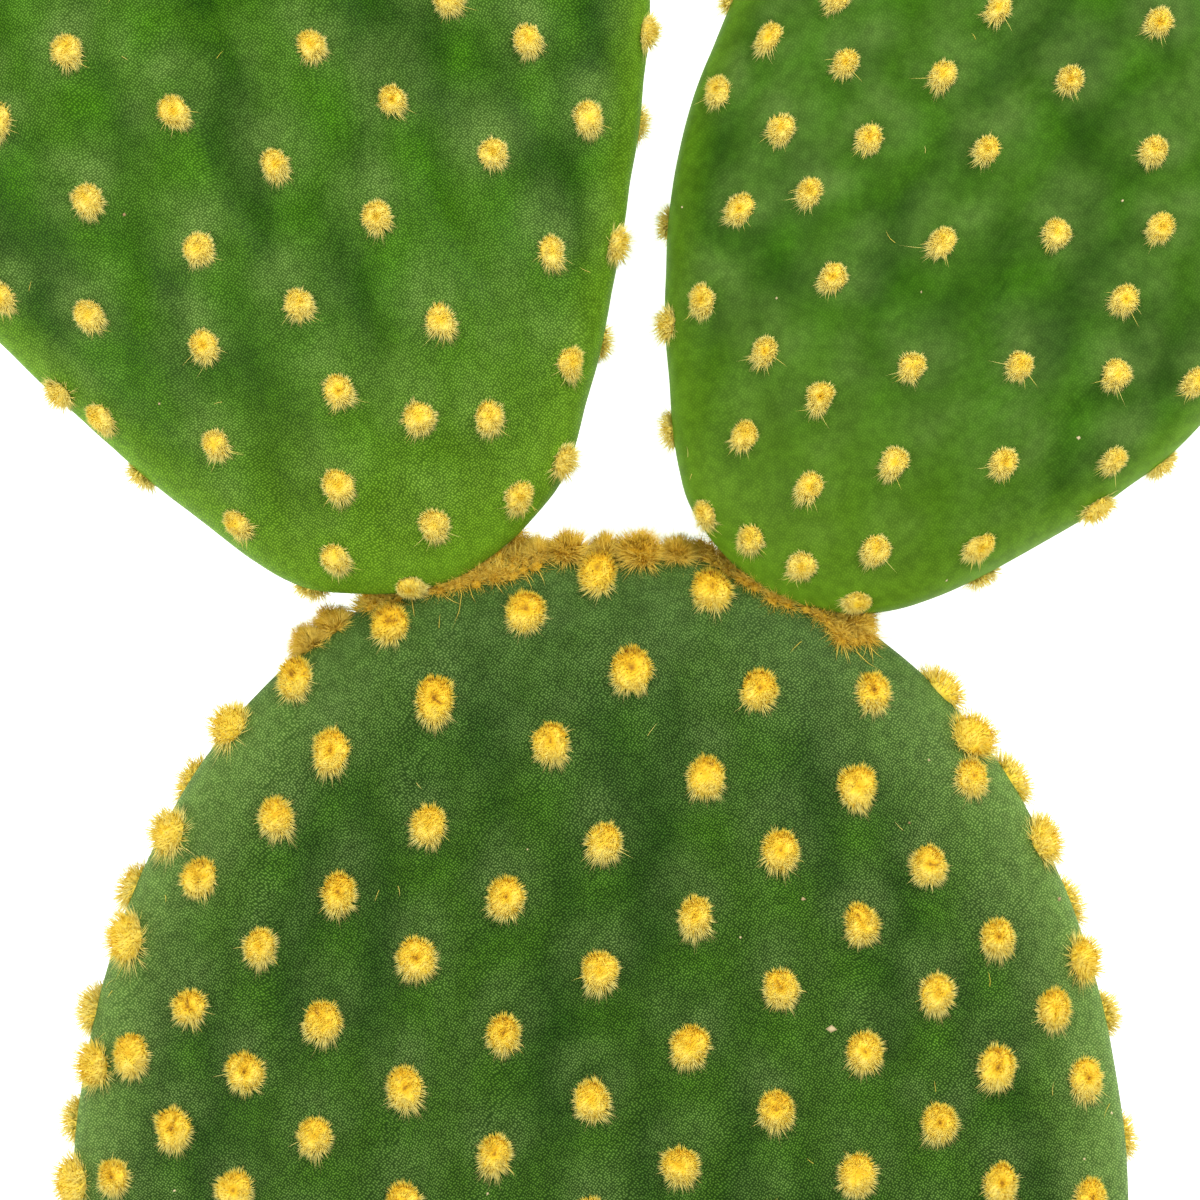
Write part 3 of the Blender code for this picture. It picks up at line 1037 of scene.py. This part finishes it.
def shaped(seats, look, chance):
    # half width, half height along the pad and rise of each tuft's cushion, and the lobes of its outline
    count = len(seats["place"])
    size = chance.uniform(*look["sizeRange"], (count, 1)) * look["size"]
    size = size * (1 + look["ageGrowth"] * seats["age"][:, None])
    shape = {"lobes": []}
    for key in ("wide", "tall", "rise"):
        shape[key] = size * look[key] * chance.uniform(*look["shapeRange"], (count, 1))
    for waves in look["lobeWaves"]:
        swell = chance.normal(0, look["lobes"] / waves, (count, 1))
        shape["lobes"].append((waves, chance.uniform(0, fullTurn, (count, 1)), swell))
    return shape


def onCushion(seats, shape, look, slant, turn):
    # points of the cushions at slant (0 on top, a quarter turn at the edge), with the way out of them
    wide, tall, rise = (shape[key] for key in ("wide", "tall", "rise"))
    spread, height = np.sin(slant) ** look["fullness"], np.cos(slant)
    lobes = sum(swell * np.cos(waves * turn - start) for waves, start, swell in shape["lobes"])
    spread = spread * (1 + lobes)
    x, y = np.cos(turn) * spread, np.sin(turn) * spread
    z = height - look["dip"] * np.exp(-((spread / look["dipWidth"]) ** 2))
    right = np.cross(seats["up"], seats["out"])[:, None]
    up, out = seats["up"][:, None], seats["out"][:, None]
    place = seats["place"][:, None] + right * (x * wide)[..., None] + up * (y * tall)[..., None]
    place = place + out * (z * rise)[..., None]
    tilt = slant * look["spread"] * (1 + look["droop"] * np.clip(-y, 0, 1))
    aim = right * (np.cos(turn) * np.sin(tilt))[..., None]
    aim = aim + up * (np.sin(turn) * np.sin(tilt))[..., None]
    return place, unit(aim + out * np.cos(tilt)[..., None]), x, y


def inPits(look, pits, x, y):
    # how deep in a tuft's pits each point lies
    found = 0
    for pitX, pitY, strength in pits:
        gaps = (x - pitX) ** 2 + (y - pitY) ** 2
        found = found + strength * np.exp(-gaps / (2 * look["pitWidth"] ** 2))
    return found


def shadesOn(seats, look, pits, x, y, chance):
    # golden towards the top of a tuft, cream towards its foot, brown in the pits in its middle
    shades = look["shade"] + look["shadeRise"] * y + look["ageShade"] * seats["age"][:, None]
    shades = shades + chance.normal(0, look["tuftSpread"], (len(x), 1))
    shades = shades + look["dipShade"] * np.exp(-(x**2 + y**2) / look["dipReach"] ** 2)
    shades = shades + look["pitShade"] * inPits(look, pits, x, y)
    shades = shades + chance.normal(0, look["shadeSpread"], x.shape)
    brown = chance.uniform(0, 1, x.shape) < look["brown"]
    return np.clip(shades + look["brownShade"] * brown, 0, 1)


def cushions(seats, shape, look, pits, chance):
    # a closed lumpy cushion under the bristles of each tuft
    sides, slants = look["sides"], np.radians(look["rings"])
    turns = np.arange(sides) * fullTurn / sides
    slant = np.concatenate([[0], np.repeat(slants, sides), [math.pi]])
    turn = np.concatenate([[0], np.tile(turns, len(slants)), [0]])
    slant = np.tile(slant, (len(seats["place"]), 1))
    points, aim, x, y = onCushion(seats, shape, look, slant, turn[None])
    lumps = chance.normal(0, look["lumps"], x.shape) * (slant < look["lumpsWithin"])
    points = points + aim * lumps[..., None]
    pattern = []
    last = len(turn) - 1
    for side in range(sides):
        following = (side + 1) % sides
        pattern.append((0, 1 + side, 1 + following))
        pattern.append((last, last - sides + following, last - sides + side))
        for ring in range(len(slants) - 1):
            a, b = 1 + ring * sides + side, 1 + ring * sides + following
            pattern += [(a, a + sides, b + sides), (a, b + sides, b)]
    faces = repeated(pattern, len(points))
    shades = shadesOn(seats, look, pits, x, y, chance)
    # Cushions are coloured near the roots: partly painted shade in the gaps between bristles.
    values = {"shade": shades.ravel(), "grown": np.full(shades.size, look["coreGrown"])}
    return points.reshape(-1, 3), faces, values


def gathered(parts):
    # joins (points, faces, values) parts into one
    offsets = np.cumsum([0] + [len(points) for points, _, _ in parts])
    points = np.concatenate([part[0] for part in parts])
    faces = np.concatenate([part[1] + offset for part, offset in zip(parts, offsets)])
    values = {key: np.concatenate([part[2][key] for part in parts]) for key in parts[0][2]}
    return points, faces, values


def bakeMap(faces, values):
    # lays each face at its shade and growth, with a little width so that none is a line
    across, up = 0.03 + 0.92 * values["shade"][faces], 0.04 + 0.88 * values["grown"][faces]
    corners = np.stack([across, up], axis=-1)
    corners[:, 1] += (0.012, 0.0)
    corners[:, 2] += (0.006, 0.012)
    return corners.reshape(-1, 2)


def tuftBristles(seats, shape, look, pits, chance):
    # fine bristles over each cushion, spread by the golden angle and gathered into small bunches
    each, seatCount = look["bristles"], len(seats["place"])
    everywhere = (seatCount, each)
    order = (np.arange(each) + 0.5) / each
    slant = np.radians(look["edge"]) * order ** look["crowding"]
    slantJitter, turnJitter = look["jitter"]
    slant = slant[None] + chance.normal(0, slantJitter, everywhere)
    slant = np.clip(slant, 0, math.radians(look["lowest"]))
    turn = np.arange(each) * goldenTurn + chance.uniform(0, fullTurn, (seatCount, 1))
    turn = turn + chance.normal(0, turnJitter, everywhere)
    roots, aims, x, y = onCushion(seats, shape, look, slant, turn)
    leans = chance.normal(0, look["bunching"], (seatCount, look["bunches"], 3))
    sectors = np.floor(turn / fullTurn * look["bunchTurns"]) * 3 + np.floor(slant * look["bunchSlants"])
    sectors = sectors.astype(int) % look["bunches"]
    aims = aims + leans[np.arange(seatCount)[:, None], sectors]
    aims = aims + chance.normal(0, look["stray"], (*everywhere, 3))
    aims = unit(aims + seats["out"][:, None] * look["upright"])
    low = np.clip(-y - look["lowStart"], 0, 1)
    lengths = look["length"] * look["size"] * chance.uniform(*look["lengthRange"], everywhere)
    lengths = lengths * (1 + look["lowLonger"] * low)
    outermost = ramp(slant, look["edgeStart"], look["edgeFade"])
    fringe = look["fringe"] * outermost * chance.uniform(0, 1, everywhere) ** look["fringeBend"]
    lengths = lengths * (1 + fringe)
    lengths = lengths * (1 - look["pitShort"] * np.minimum(inPits(look, pits, x, y), 1))
    widths = look["width"] * chance.uniform(*look["widthRange"], everywhere)
    side = look["bunchCells"]
    columns, rows = (
        np.clip((step + look["bunchReach"]) / look["bunchSize"], 0, side - 1).astype(int) for step in (x, y)
    )
    bunch = chance.normal(0, 1, (seatCount, side, side))[np.arange(seatCount)[:, None], columns, rows]
    lengths = lengths * (1 + look["bunchLength"] * bunch)
    shades = shadesOn(seats, look, pits, x, y, chance) - look["bunchShade"] * bunch
    shades = np.clip(shades - look["edgePale"] * outermost, 0, 1)
    roots = roots - aims * (look["sunk"] * lengths)[..., None]
    roll = chance.uniform(0, fullTurn, shades.size)
    plain = [numbers.ravel() for numbers in (lengths, widths, shades)]
    return spikes(roots.reshape(-1, 3), aims.reshape(-1, 3), *plain, roll)


def tuftParts(seats, look, chance, lowest=None):
    # the parts of one kind of tuft: cushions, bristles and stray hairs, none of them under lowest
    shape = shaped(seats, look, chance)
    count = len(seats["place"])
    pits = []
    for _ in range(look["pits"]):
        offset = chance.uniform(-look["pitSpread"], look["pitSpread"], (2, count, 1))
        offset = offset + np.array(look["pitPlace"])[:, None, None]
        pits.append((offset[0], offset[1], chance.uniform(*look["pitRange"], (count, 1))))
    parts = [cushions(seats, shape, look, pits, chance)]
    parts.append(tuftBristles(seats, shape, look, pits, chance))
    if look["strays"]:
        parts.append(strayHairs(seats, look, chance))
    if lowest is not None:
        for points, _, _ in parts:
            points[:, 2] = np.maximum(points[:, 2], lowest)
    return parts


def strayHairs(seats, look, chance):
    # long thin curved hairs that leave the lower edge of each tuft and lie close over the skin
    everywhere = (len(seats["place"]), look["strays"])
    turn = chance.normal(-math.pi / 2, look["straySpread"], everywhere)
    right = np.cross(seats["up"], seats["out"])[:, None]
    up, out, place = seats["up"][:, None], seats["out"][:, None], seats["place"][:, None]
    flat = right * np.cos(turn)[..., None] + up * np.sin(turn)[..., None]
    curl = right * chance.normal(0, look["curl"], everywhere)[..., None] - up * look["curl"] * look["sag"]
    length = (look["strayLength"] * chance.uniform(*look["strayRange"], everywhere))[..., None]
    start = place + flat * (look["strayStart"] * look["size"]) + out * look["strayHeight"]
    steps = []
    for share in (0.0, 0.4, 0.75, 1.0):
        bow = out * (look["strayBow"] * share * (1 - share)) * length
        steps.append(start + flat * length * share + curl * length * share**2 + bow)
    path = np.stack(steps, axis=2).reshape(-1, 4, 3)
    return tubes(path, look["strayWidth"], chance.uniform(*look["strayShade"], len(path)))


def tubes(path, width, shades):
    # closed three-sided hairs through four points each, pointed at the end
    aims = unit(np.gradient(path, axis=1))
    side = unit(np.cross(aims, [[[0.13, 0.21, 1.0]]]))
    other = np.cross(aims, side)
    rings = []
    for ring, taper in enumerate((1.0, 0.85, 0.6)):
        for third in range(3):
            turn = third * fullTurn / 3
            swing = side[:, ring] * math.cos(turn) + other[:, ring] * math.sin(turn)
            rings.append(path[:, ring] + swing * (width * taper / 2))
    rings.append(path[:, 3])
    points = np.stack(rings, axis=1).reshape(-1, 3)
    pattern = [(0, 2, 1)]
    for ring in (0, 3):
        for third in range(3):
            following = (third + 1) % 3
            a, b, c, d = ring + third, ring + following, ring + 3 + following, ring + 3 + third
            pattern += [(a, b, c), (a, c, d)]
    pattern += [(6 + third, 6 + (third + 1) % 3, 9) for third in range(3)]
    faces = repeated(pattern, len(path))
    grown = np.tile([0.3] * 3 + [0.6] * 3 + [0.85] * 3 + [1.0], len(path))
    return points, faces, {"shade": np.repeat(shades, 10), "grown": grown}


def lifted(pad, seats):
    # seats moved out onto the swollen skin
    moved = dict(seats)
    moved["place"] = seats["place"] + seats["out"] * skinLift(pad, seats["place"])[:, None]
    return moved


matureTuftLook = {
    "size": 1.08,
    "wide": 1.13,  # the cushion's half width, then its half height along the pad and its rise
    "tall": 1.30,
    "rise": 0.62,
    "sizeRange": (0.92, 1.08),
    "shapeRange": (0.94, 1.06),
    "fullness": 0.9,
    "dip": 0.22,
    "dipWidth": 0.42,
    "lumps": 0.06,
    "lumpsWithin": 1.4,  # the slant in radians up to which the cushion is lumpy
    "lobes": 0.10,
    "lobeWaves": (2, 3, 5),  # how many lobes each wave of the outline has
    "sides": 12,
    "rings": (28, 52, 72, 90, 112),  # slants of the cushion's rings of corners
    "droop": 0.35,
    # The cushion takes a colour near the roots', which shows between the bristles partly as the areole's
    # own wool and partly as painted shade.
    "coreGrown": 0.2,
    "bristles": 770,
    "edge": 104,  # how far down the cushion's side the bristles start
    "lowest": 115,
    "jitter": (0.03, 0.1),  # of a bristle's slant and turn, in radians
    "crowding": 0.56,
    "spread": 0.85,
    "length": 0.46,
    "lengthRange": (0.75, 1.2),
    "width": 0.077,
    "widthRange": (0.8, 1.2),
    "sunk": 0.12,  # share of each bristle that is inside the cushion
    "bunches": 12,
    "bunching": 0.20,
    "bunchTurns": 3.999,  # bunches in a full turn, and in a radian of slant
    "bunchSlants": 1.9,
    "stray": 0.15,
    "upright": 0.12,
    "lowLonger": 1.6,
    "lowStart": 0.35,
    "fringe": 0.45,
    "fringeBend": 1.5,
    "shade": 0.40,
    "shadeRise": 0.32,
    "shadeSpread": 0.10,
    "tuftSpread": 0.04,
    "bunchSize": 0.21,
    "bunchReach": 1.4,
    "bunchCells": 16,
    "bunchShade": 0.10,
    "bunchLength": 0.19,
    "edgePale": 0.28,  # how much paler the lowest bristles are
    "edgeStart": 1.15,  # the slant in radians from which they count as lowest
    "edgeFade": 0.3,
    "brown": 0.04,  # share of the bristles that have turned brown
    "brownShade": 0.35,
    "dipShade": 0.10,
    "dipReach": 0.45,
    "ageGrowth": 0.14,
    "ageShade": 0.20,
    "pits": 2,
    "pitWidth": 0.12,
    "pitShade": 0.85,
    "pitShort": 0.6,
    "pitPlace": (0.0, -0.08),
    "pitSpread": 0.2,
    "pitRange": (0.3, 1),
    "strays": 4,
    "strayStart": 1.0,
    "strayLength": 1.0,
    "straySpread": 0.75,
    "strayWidth": 0.055,
    "strayRange": (0.6, 1.25),
    "strayHeight": 0.35,
    "strayBow": 0.35,
    "strayShade": (0.05, 0.35),
    "curl": 0.25,
    "sag": 0.6,
}
# Away from the view's middle, tufts have fewer and wider bristles.
coarse = {"bristles": 210, "width": 0.14, "strays": 3}
youngTuftLook = dict(
    matureTuftLook, bristles=600, wide=1.10, tall=1.22, shade=0.20, shadeRise=0.20,
    shadeSpread=0.09, brown=0.02, pits=1, pitWidth=0.17, pitPlace=(0.0, 0.12), dipShade=0.22,
    strays=10, strayStart=0.9, strayLength=0.85, straySpread=0.55, strayWidth=0.05, curl=0.6,
    lowLonger=1.9, fringe=0.35,
)
rimTuftLook = dict(
    matureTuftLook, bristles=560, shade=0.36, shadeRise=0.06, rise=1.0, length=0.95, spread=0.7,
    strays=2, pits=1, dipShade=0.05, dip=0.1, size=1.2, lowLonger=0.3, fringe=0.4,
)
youngRimTuftLook = dict(
    rimTuftLook, size=0.84, bristles=420, shade=0.20, strays=4, rise=0.8, length=1.05,
)
backTuftLook = dict(matureTuftLook, bristles=80, width=0.20, strays=2, rise=0.7)
restTuftLook = dict(backTuftLook, rise=0.5, length=0.4)
# The clumps' dark cushions and darker middles are painted shade in the gaps where their hairs part.
tipClumpLook = dict(
    matureTuftLook, bristles=1750, size=1.1, wide=1.0, tall=0.95, rise=1.15, length=1.15,
    width=0.054, spread=1.0, stray=0.26, bunching=0.26, lumps=0.12, lowLonger=0.2, fringe=0.3,
    shade=0.30, shadeRise=0.0, shadeSpread=0.16, dipShade=0.12, dip=0.0, pits=0, coreGrown=0.1,
    tuftSpread=0.08, ageGrowth=1.0, ageShade=0.0, strayStart=1.3, strayLength=1.6, droop=0.0,
)
seamTuftLook = dict(
    matureTuftLook, bristles=74, size=1.0, wide=0.40, tall=0.38, rise=0.30, length=1.15,
    width=0.055, stray=0.34, lumps=0.05, lowLonger=0.6, shade=0.36, shadeRise=-0.12,
    shadeSpread=0.22, brown=0.08, dipShade=0.0, dip=0.0, pits=0, coreGrown=0.1, ageGrowth=0.4,
    ageShade=0.0, strays=0, droop=0.0, sides=7,
)


def makeBristles(name, parts, material):
    # one piece from its (points, faces, values) parts
    points, faces, values = gathered(parts)
    made = newPiece(name, points, faces, material, values, bakeMap(faces, values))
    print(name, "has", len(faces), "triangles")
    return made


leastHeight = 0.03  # of the bristles that reach the ground


def makeTufts(name, groups, seed, nodes=()):
    # groups lists (pad, name of its seats, look)
    chance = np.random.default_rng(seed)
    parts = []
    for pad, key, look in groups:
        lowest = None if key in ("front", "farFront") else leastHeight
        parts += tuftParts(lifted(pad, pad[key]), look, chance, lowest)
    made = makeBristles(name, parts, glochids)
    if nodes:
        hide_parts(*nodes)


# Tufts within this reach of the view's middle have the full number of bristles.
fineReach = 50
for pad in pads.values():
    for key, farKey in (("front", "farFront"), ("rim", "farRim")):
        middle = (0, maturePad["stations"][-1][0] - studio["viewBelowTip"])
        gaps = inCutting(pad[key]["place"]) - middle
        near = np.abs(gaps).max(axis=1) < fineReach
        pad[key], pad[farKey] = chosen(pad[key], near), chosen(pad[key], ~near)

makeTufts("mature_pad_tip_tufts", [(maturePad, "front", matureTuftLook)], 21)
makeTufts("mature_pad_base_tufts", [(maturePad, "farFront", dict(matureTuftLook, **coarse))], 31)
groups = [(maturePad, "rim", rimTuftLook), (maturePad, "farRim", dict(rimTuftLook, **coarse))]
makeTufts("mature_pad_rim_tufts", groups, 22)
for name, pad, seed, size in (("left", leftPad, 23, 0.90), ("right", rightPad, 25, 0.83)):
    look = dict(youngTuftLook, size=size)
    groups = [(pad, "front", look), (pad, "farFront", dict(look, **coarse))]
    makeTufts(name + "_pad_tufts", groups, seed)
    groups = [(pad, "rim", youngRimTuftLook), (pad, "farRim", dict(youngRimTuftLook, **coarse))]
    makeTufts(name + "_pad_rim_tufts", groups, seed + 1)
for name, pad, seed in (("mature", maturePad, 27), ("left", leftPad, 28), ("right", rightPad, 29)):
    groups = [(pad, "back", backTuftLook), (pad, "rest", restTuftLook)]
    makeTufts(name + "_pad_back_tufts", groups, seed, pad["restNodes"])


def frontHeight(x, y, slack=0.0):
    # height of the mature pad's front over points of the ground, or far below it outside the outline
    over, angle, share = toPad(maturePad, x - maturePad["origin"][0], y - maturePad["origin"][1])
    return np.where(share <= 1 + slack, skin(maturePad, over, angle)[..., 2], -99)


def seamLine(pad, look):
    # where the front of a young pad meets the mature pad, with the way from it over the mature pad
    steps = np.arange(look["steps"])
    angles = np.linspace(-math.pi, 0, len(steps))
    angle, over = np.meshgrid(angles, np.linspace(*look["overs"]), indexing="ij")
    points = skin(pad, over.ravel(), angle.ravel())
    under = frontHeight(points[:, 0], points[:, 1], look["slack"]).reshape(angle.shape)
    points = points.reshape(*angle.shape, 3)
    first = (points[..., 2] > under).argmax(axis=1)
    line = points[steps, first]
    line = line[under[steps, first] > 0]
    line[:, 2] = frontHeight(line[:, 0], line[:, 1], look["slack"])
    heading = unit(np.gradient(line[:, :2], axis=0))
    away = np.stack([heading[:, 1], -heading[:, 0], np.zeros(len(line))], axis=1)
    centre = skin(pad, np.array([0.02]), np.array([0.0]))[0]
    away *= np.sign(((line - centre) * away).sum(axis=1))[:, None]
    return line, away


def seamSeats(pad, look, chance):
    line, away = seamLine(pad, look)
    across = inCutting(line)[:, 0]
    weight = np.full(len(line), look["thinnest"])
    for middle, width, strength in look["thick"]:
        weight = np.maximum(weight, strength * np.exp(-((across - middle) ** 2) / (2 * width**2)))
    weight = np.where((across > look["between"][0]) & (across < look["between"][1]), weight, 0)
    steps = np.linalg.norm(np.gradient(line, axis=0), axis=1) * weight
    count = int(steps.sum() * look["perMillimetre"])
    picked = chance.choice(len(line), count, p=steps / steps.sum())
    offset = chance.uniform(-look["climb"], 1, count) * weight[picked] * look["reach"]
    place = line[picked] + away[picked] * offset[:, None]
    height = frontHeight(place[:, 0], place[:, 1], look["slack"])
    place[:, 2] = np.maximum(height, place[:, 2] - look["drop"]) - look["sunk"]
    scatter = chance.normal(0, look["scatter"], (count, 3))
    out = unit(np.array([0, 0, 1.0]) + away[picked] * look["splay"] + scatter)
    up = -away[picked]
    up = unit(up - out * (out * up).sum(axis=1)[:, None])
    return {"place": place, "out": out, "up": up, "age": weight[picked] * look["age"]}


# thick lists (distance across, half width of the stretch, how thick the mat of bristles is there)
leftSeam = {
    "thick": [(-6.8, 2.4, 1.0), (-17.5, 1.3, 0.6), (-11, 1.5, 0.5)],
    "thinnest": 0.16,
    "between": (-18.5, -4.6),
    "reach": 3.0,  # over the mature pad where the mat is thickest
    "climb": 0.35,  # share of that reach over the young pad
    "age": 0.5,
    "perMillimetre": 13,
    "steps": 900,  # along the whole base of the young pad
    "overs": (1, 0.4, 60),  # from the rim inwards, and in how many steps
    "slack": 0.03,  # how far past the mature pad's outline its front still counts
    "drop": 3,
    "sunk": 0.05,
    "splay": 0.6,
    "scatter": 0.14,
    "hairs": 30,
    "hairLength": (1.2, 2.4),
    "hairWidth": 0.07,
    "hairCurl": 0.45,
    "hairSpread": 0.35,
    "hairStart": 0.35,
    "hairHeight": 0.12,
    "hairBow": 0.5,
    "hairSlack": 0.1,
    "hairLowest": 1,
    "hairShade": (0.0, 0.25),
}
rightSeam = dict(
    leftSeam,
    thick=[(9.0, 1.6, 0.55), (13.5, 2.4, 0.36), (20.5, 1.8, 0.9)],
    between=(8.4, 21.5),
)


def skinDrops(seats, look, chance):
    # pale curled hairs that hang from a joint over the mature pad
    picked = chance.choice(len(seats["place"]), look["hairs"], p=seats["age"] / seats["age"].sum())
    start = seats["place"][picked] + (0, 0, look["hairStart"])
    scatter = chance.normal(0, look["hairSpread"], (len(picked), 3))
    away = unit(-seats["up"][picked] * (1, 1, 0) + scatter * (1, 1, 0))
    bend = np.stack([-away[:, 1], away[:, 0], away[:, 2]], axis=1)
    bend = bend * chance.normal(0, look["hairCurl"], (len(picked), 1))
    length = chance.uniform(*look["hairLength"], (len(picked), 1))
    steps = []
    for share in (0.0, 0.35, 0.7, 1.0):
        point = start + (away * share + bend * share**2) * length
        bow = look["hairHeight"] + look["hairBow"] * share * (1 - share)
        front = frontHeight(point[:, 0], point[:, 1], look["hairSlack"])
        point[:, 2] = np.maximum(front + bow, look["hairLowest"])
        steps.append(point)
    path = np.stack(steps, axis=1)
    path[:, 0] = start
    return tubes(path, look["hairWidth"], chance.uniform(*look["hairShade"], len(path)))


def makeJoint(name, pad, look, seed):
    chance = np.random.default_rng(seed)
    seats = seamSeats(pad, look, chance)
    parts = tuftParts(seats, seamTuftLook, chance) + [skinDrops(seats, look, chance)]
    makeBristles(name, parts, oldGlochids)


clumps = tuftParts(lifted(maturePad, maturePad["tipClumps"]), tipClumpLook, np.random.default_rng(41))
makeBristles("tip_clumps", clumps, oldGlochids)
makeJoint("left_joint_bristles", leftPad, leftSeam, 43)
makeJoint("right_joint_bristles", rightPad, rightSeam, 44)
print("old bristles are made")


crumbLook = {
    "dark": (0.30, 0.17, 0.07, 1),
    "pale": (0.80, 0.68, 0.38, 1),
    "roughness": 0.8,
    "specular": 0.2,
}
litter = {
    "crumbs": {"mature": 30, "left": 9, "right": 14},
    "crumbSize": (0.11, 0.42),  # least and most, with few near the most
    "crumbStretch": (0.7, 1.3),
    "fallen": {"mature": 46, "left": 14, "right": 12},
    "fallenLength": (0.5, 1.5),
    "fallenWidth": 0.05,
    "fallenHeight": 0.03,
    "fallenBend": 0.3,
    "fallenShade": (0, 0.5),
    "reach": 0.92,  # nothing lies further out, as a share of over
    "keepOff": 2.4,  # least distance from a tuft's middle
    "fleshGap": 0.5,
    "tries": 4,
    "seed": 61,
}


def freePlaces(pad, count, chance):
    # more places than asked for, as some fall on tufts
    tries = litter["tries"] * count
    angle = chance.uniform(-math.pi, math.pi, tries)
    over = litter["reach"] * np.sqrt(chance.uniform(0, 1, tries))
    seats = lifted(pad, seatsOn(pad, over, angle))
    seats = apart(seats, pad["seats"]["place"], litter["keepOff"])
    seats = clearOfOthers(pad, seats, litter["fleshGap"])
    return chosen(seats, np.arange(len(seats["place"])) < count)


def crumbs(seats, chance):
    # closed lumps of eight faces pressed into the skin
    least, most = litter["crumbSize"]
    size = least + (most - least) * chance.uniform(0, 1, (len(seats["place"]), 1)) ** 4
    side = unit(chance.normal(0, 1, size.shape[:1] + (3,)))
    side = unit(np.cross(side, seats["out"]))
    other = np.cross(seats["out"], side)
    corners = [seats["out"] * 0.8, -seats["out"] * 0.8, side * 1.3, other, -side, -other * 0.8]
    stretch = chance.uniform(*litter["crumbStretch"], (6, len(size), 1))
    points = [seats["place"] + corner * size * more for corner, more in zip(corners, stretch)]
    points = np.stack(points, axis=1)
    pattern = [(0, 2, 3), (0, 3, 4), (0, 4, 5), (0, 5, 2), (1, 3, 2), (1, 4, 3), (1, 5, 4), (1, 2, 5)]
    faces = repeated(pattern, len(points))
    return points.reshape(-1, 3), faces, {"tone": np.repeat(chance.uniform(0, 1, len(size)), 6)}


def fallen(seats, chance):
    # single bristles that lie on the skin
    count = len(seats["place"])
    turn = chance.uniform(0, fullTurn, (count, 1))
    flat = seats["up"] * np.cos(turn) + np.cross(seats["up"], seats["out"]) * np.sin(turn)
    bend = np.cross(flat, seats["out"]) * chance.normal(0, litter["fallenBend"], (count, 1))
    length = chance.uniform(*litter["fallenLength"], (count, 1))
    steps = []
    for share in (-0.5, -0.15, 0.2, 0.5):
        bow = (flat * share + bend * share**2) * length
        steps.append(seats["place"] + bow + seats["out"] * litter["fallenHeight"])
    shades = chance.uniform(*litter["fallenShade"], count)
    return tubes(np.stack(steps, axis=1), litter["fallenWidth"], shades)


def crumbMaterial():
    material, tree, shader = newMaterial("dry_crumbs", crumbLook)
    tones = mixColour(tree, pointValue(tree, "tone"), crumbLook["dark"], crumbLook["pale"])
    feed(tree, shader.inputs["Base Color"], tones)
    return material


chance = np.random.default_rng(litter["seed"])
lumps, hairs = [], []
for name, pad in pads.items():
    lumps.append(crumbs(freePlaces(pad, litter["crumbs"][name], chance), chance))
    hairs.append(fallen(freePlaces(pad, litter["fallen"][name], chance), chance))
points, faces, values = gathered(lumps)
newPiece("skin_crumbs", points, faces, crumbMaterial(), values)
makeBristles("fallen_bristles", hairs, glochids)
print("crumbs and fallen bristles are made")
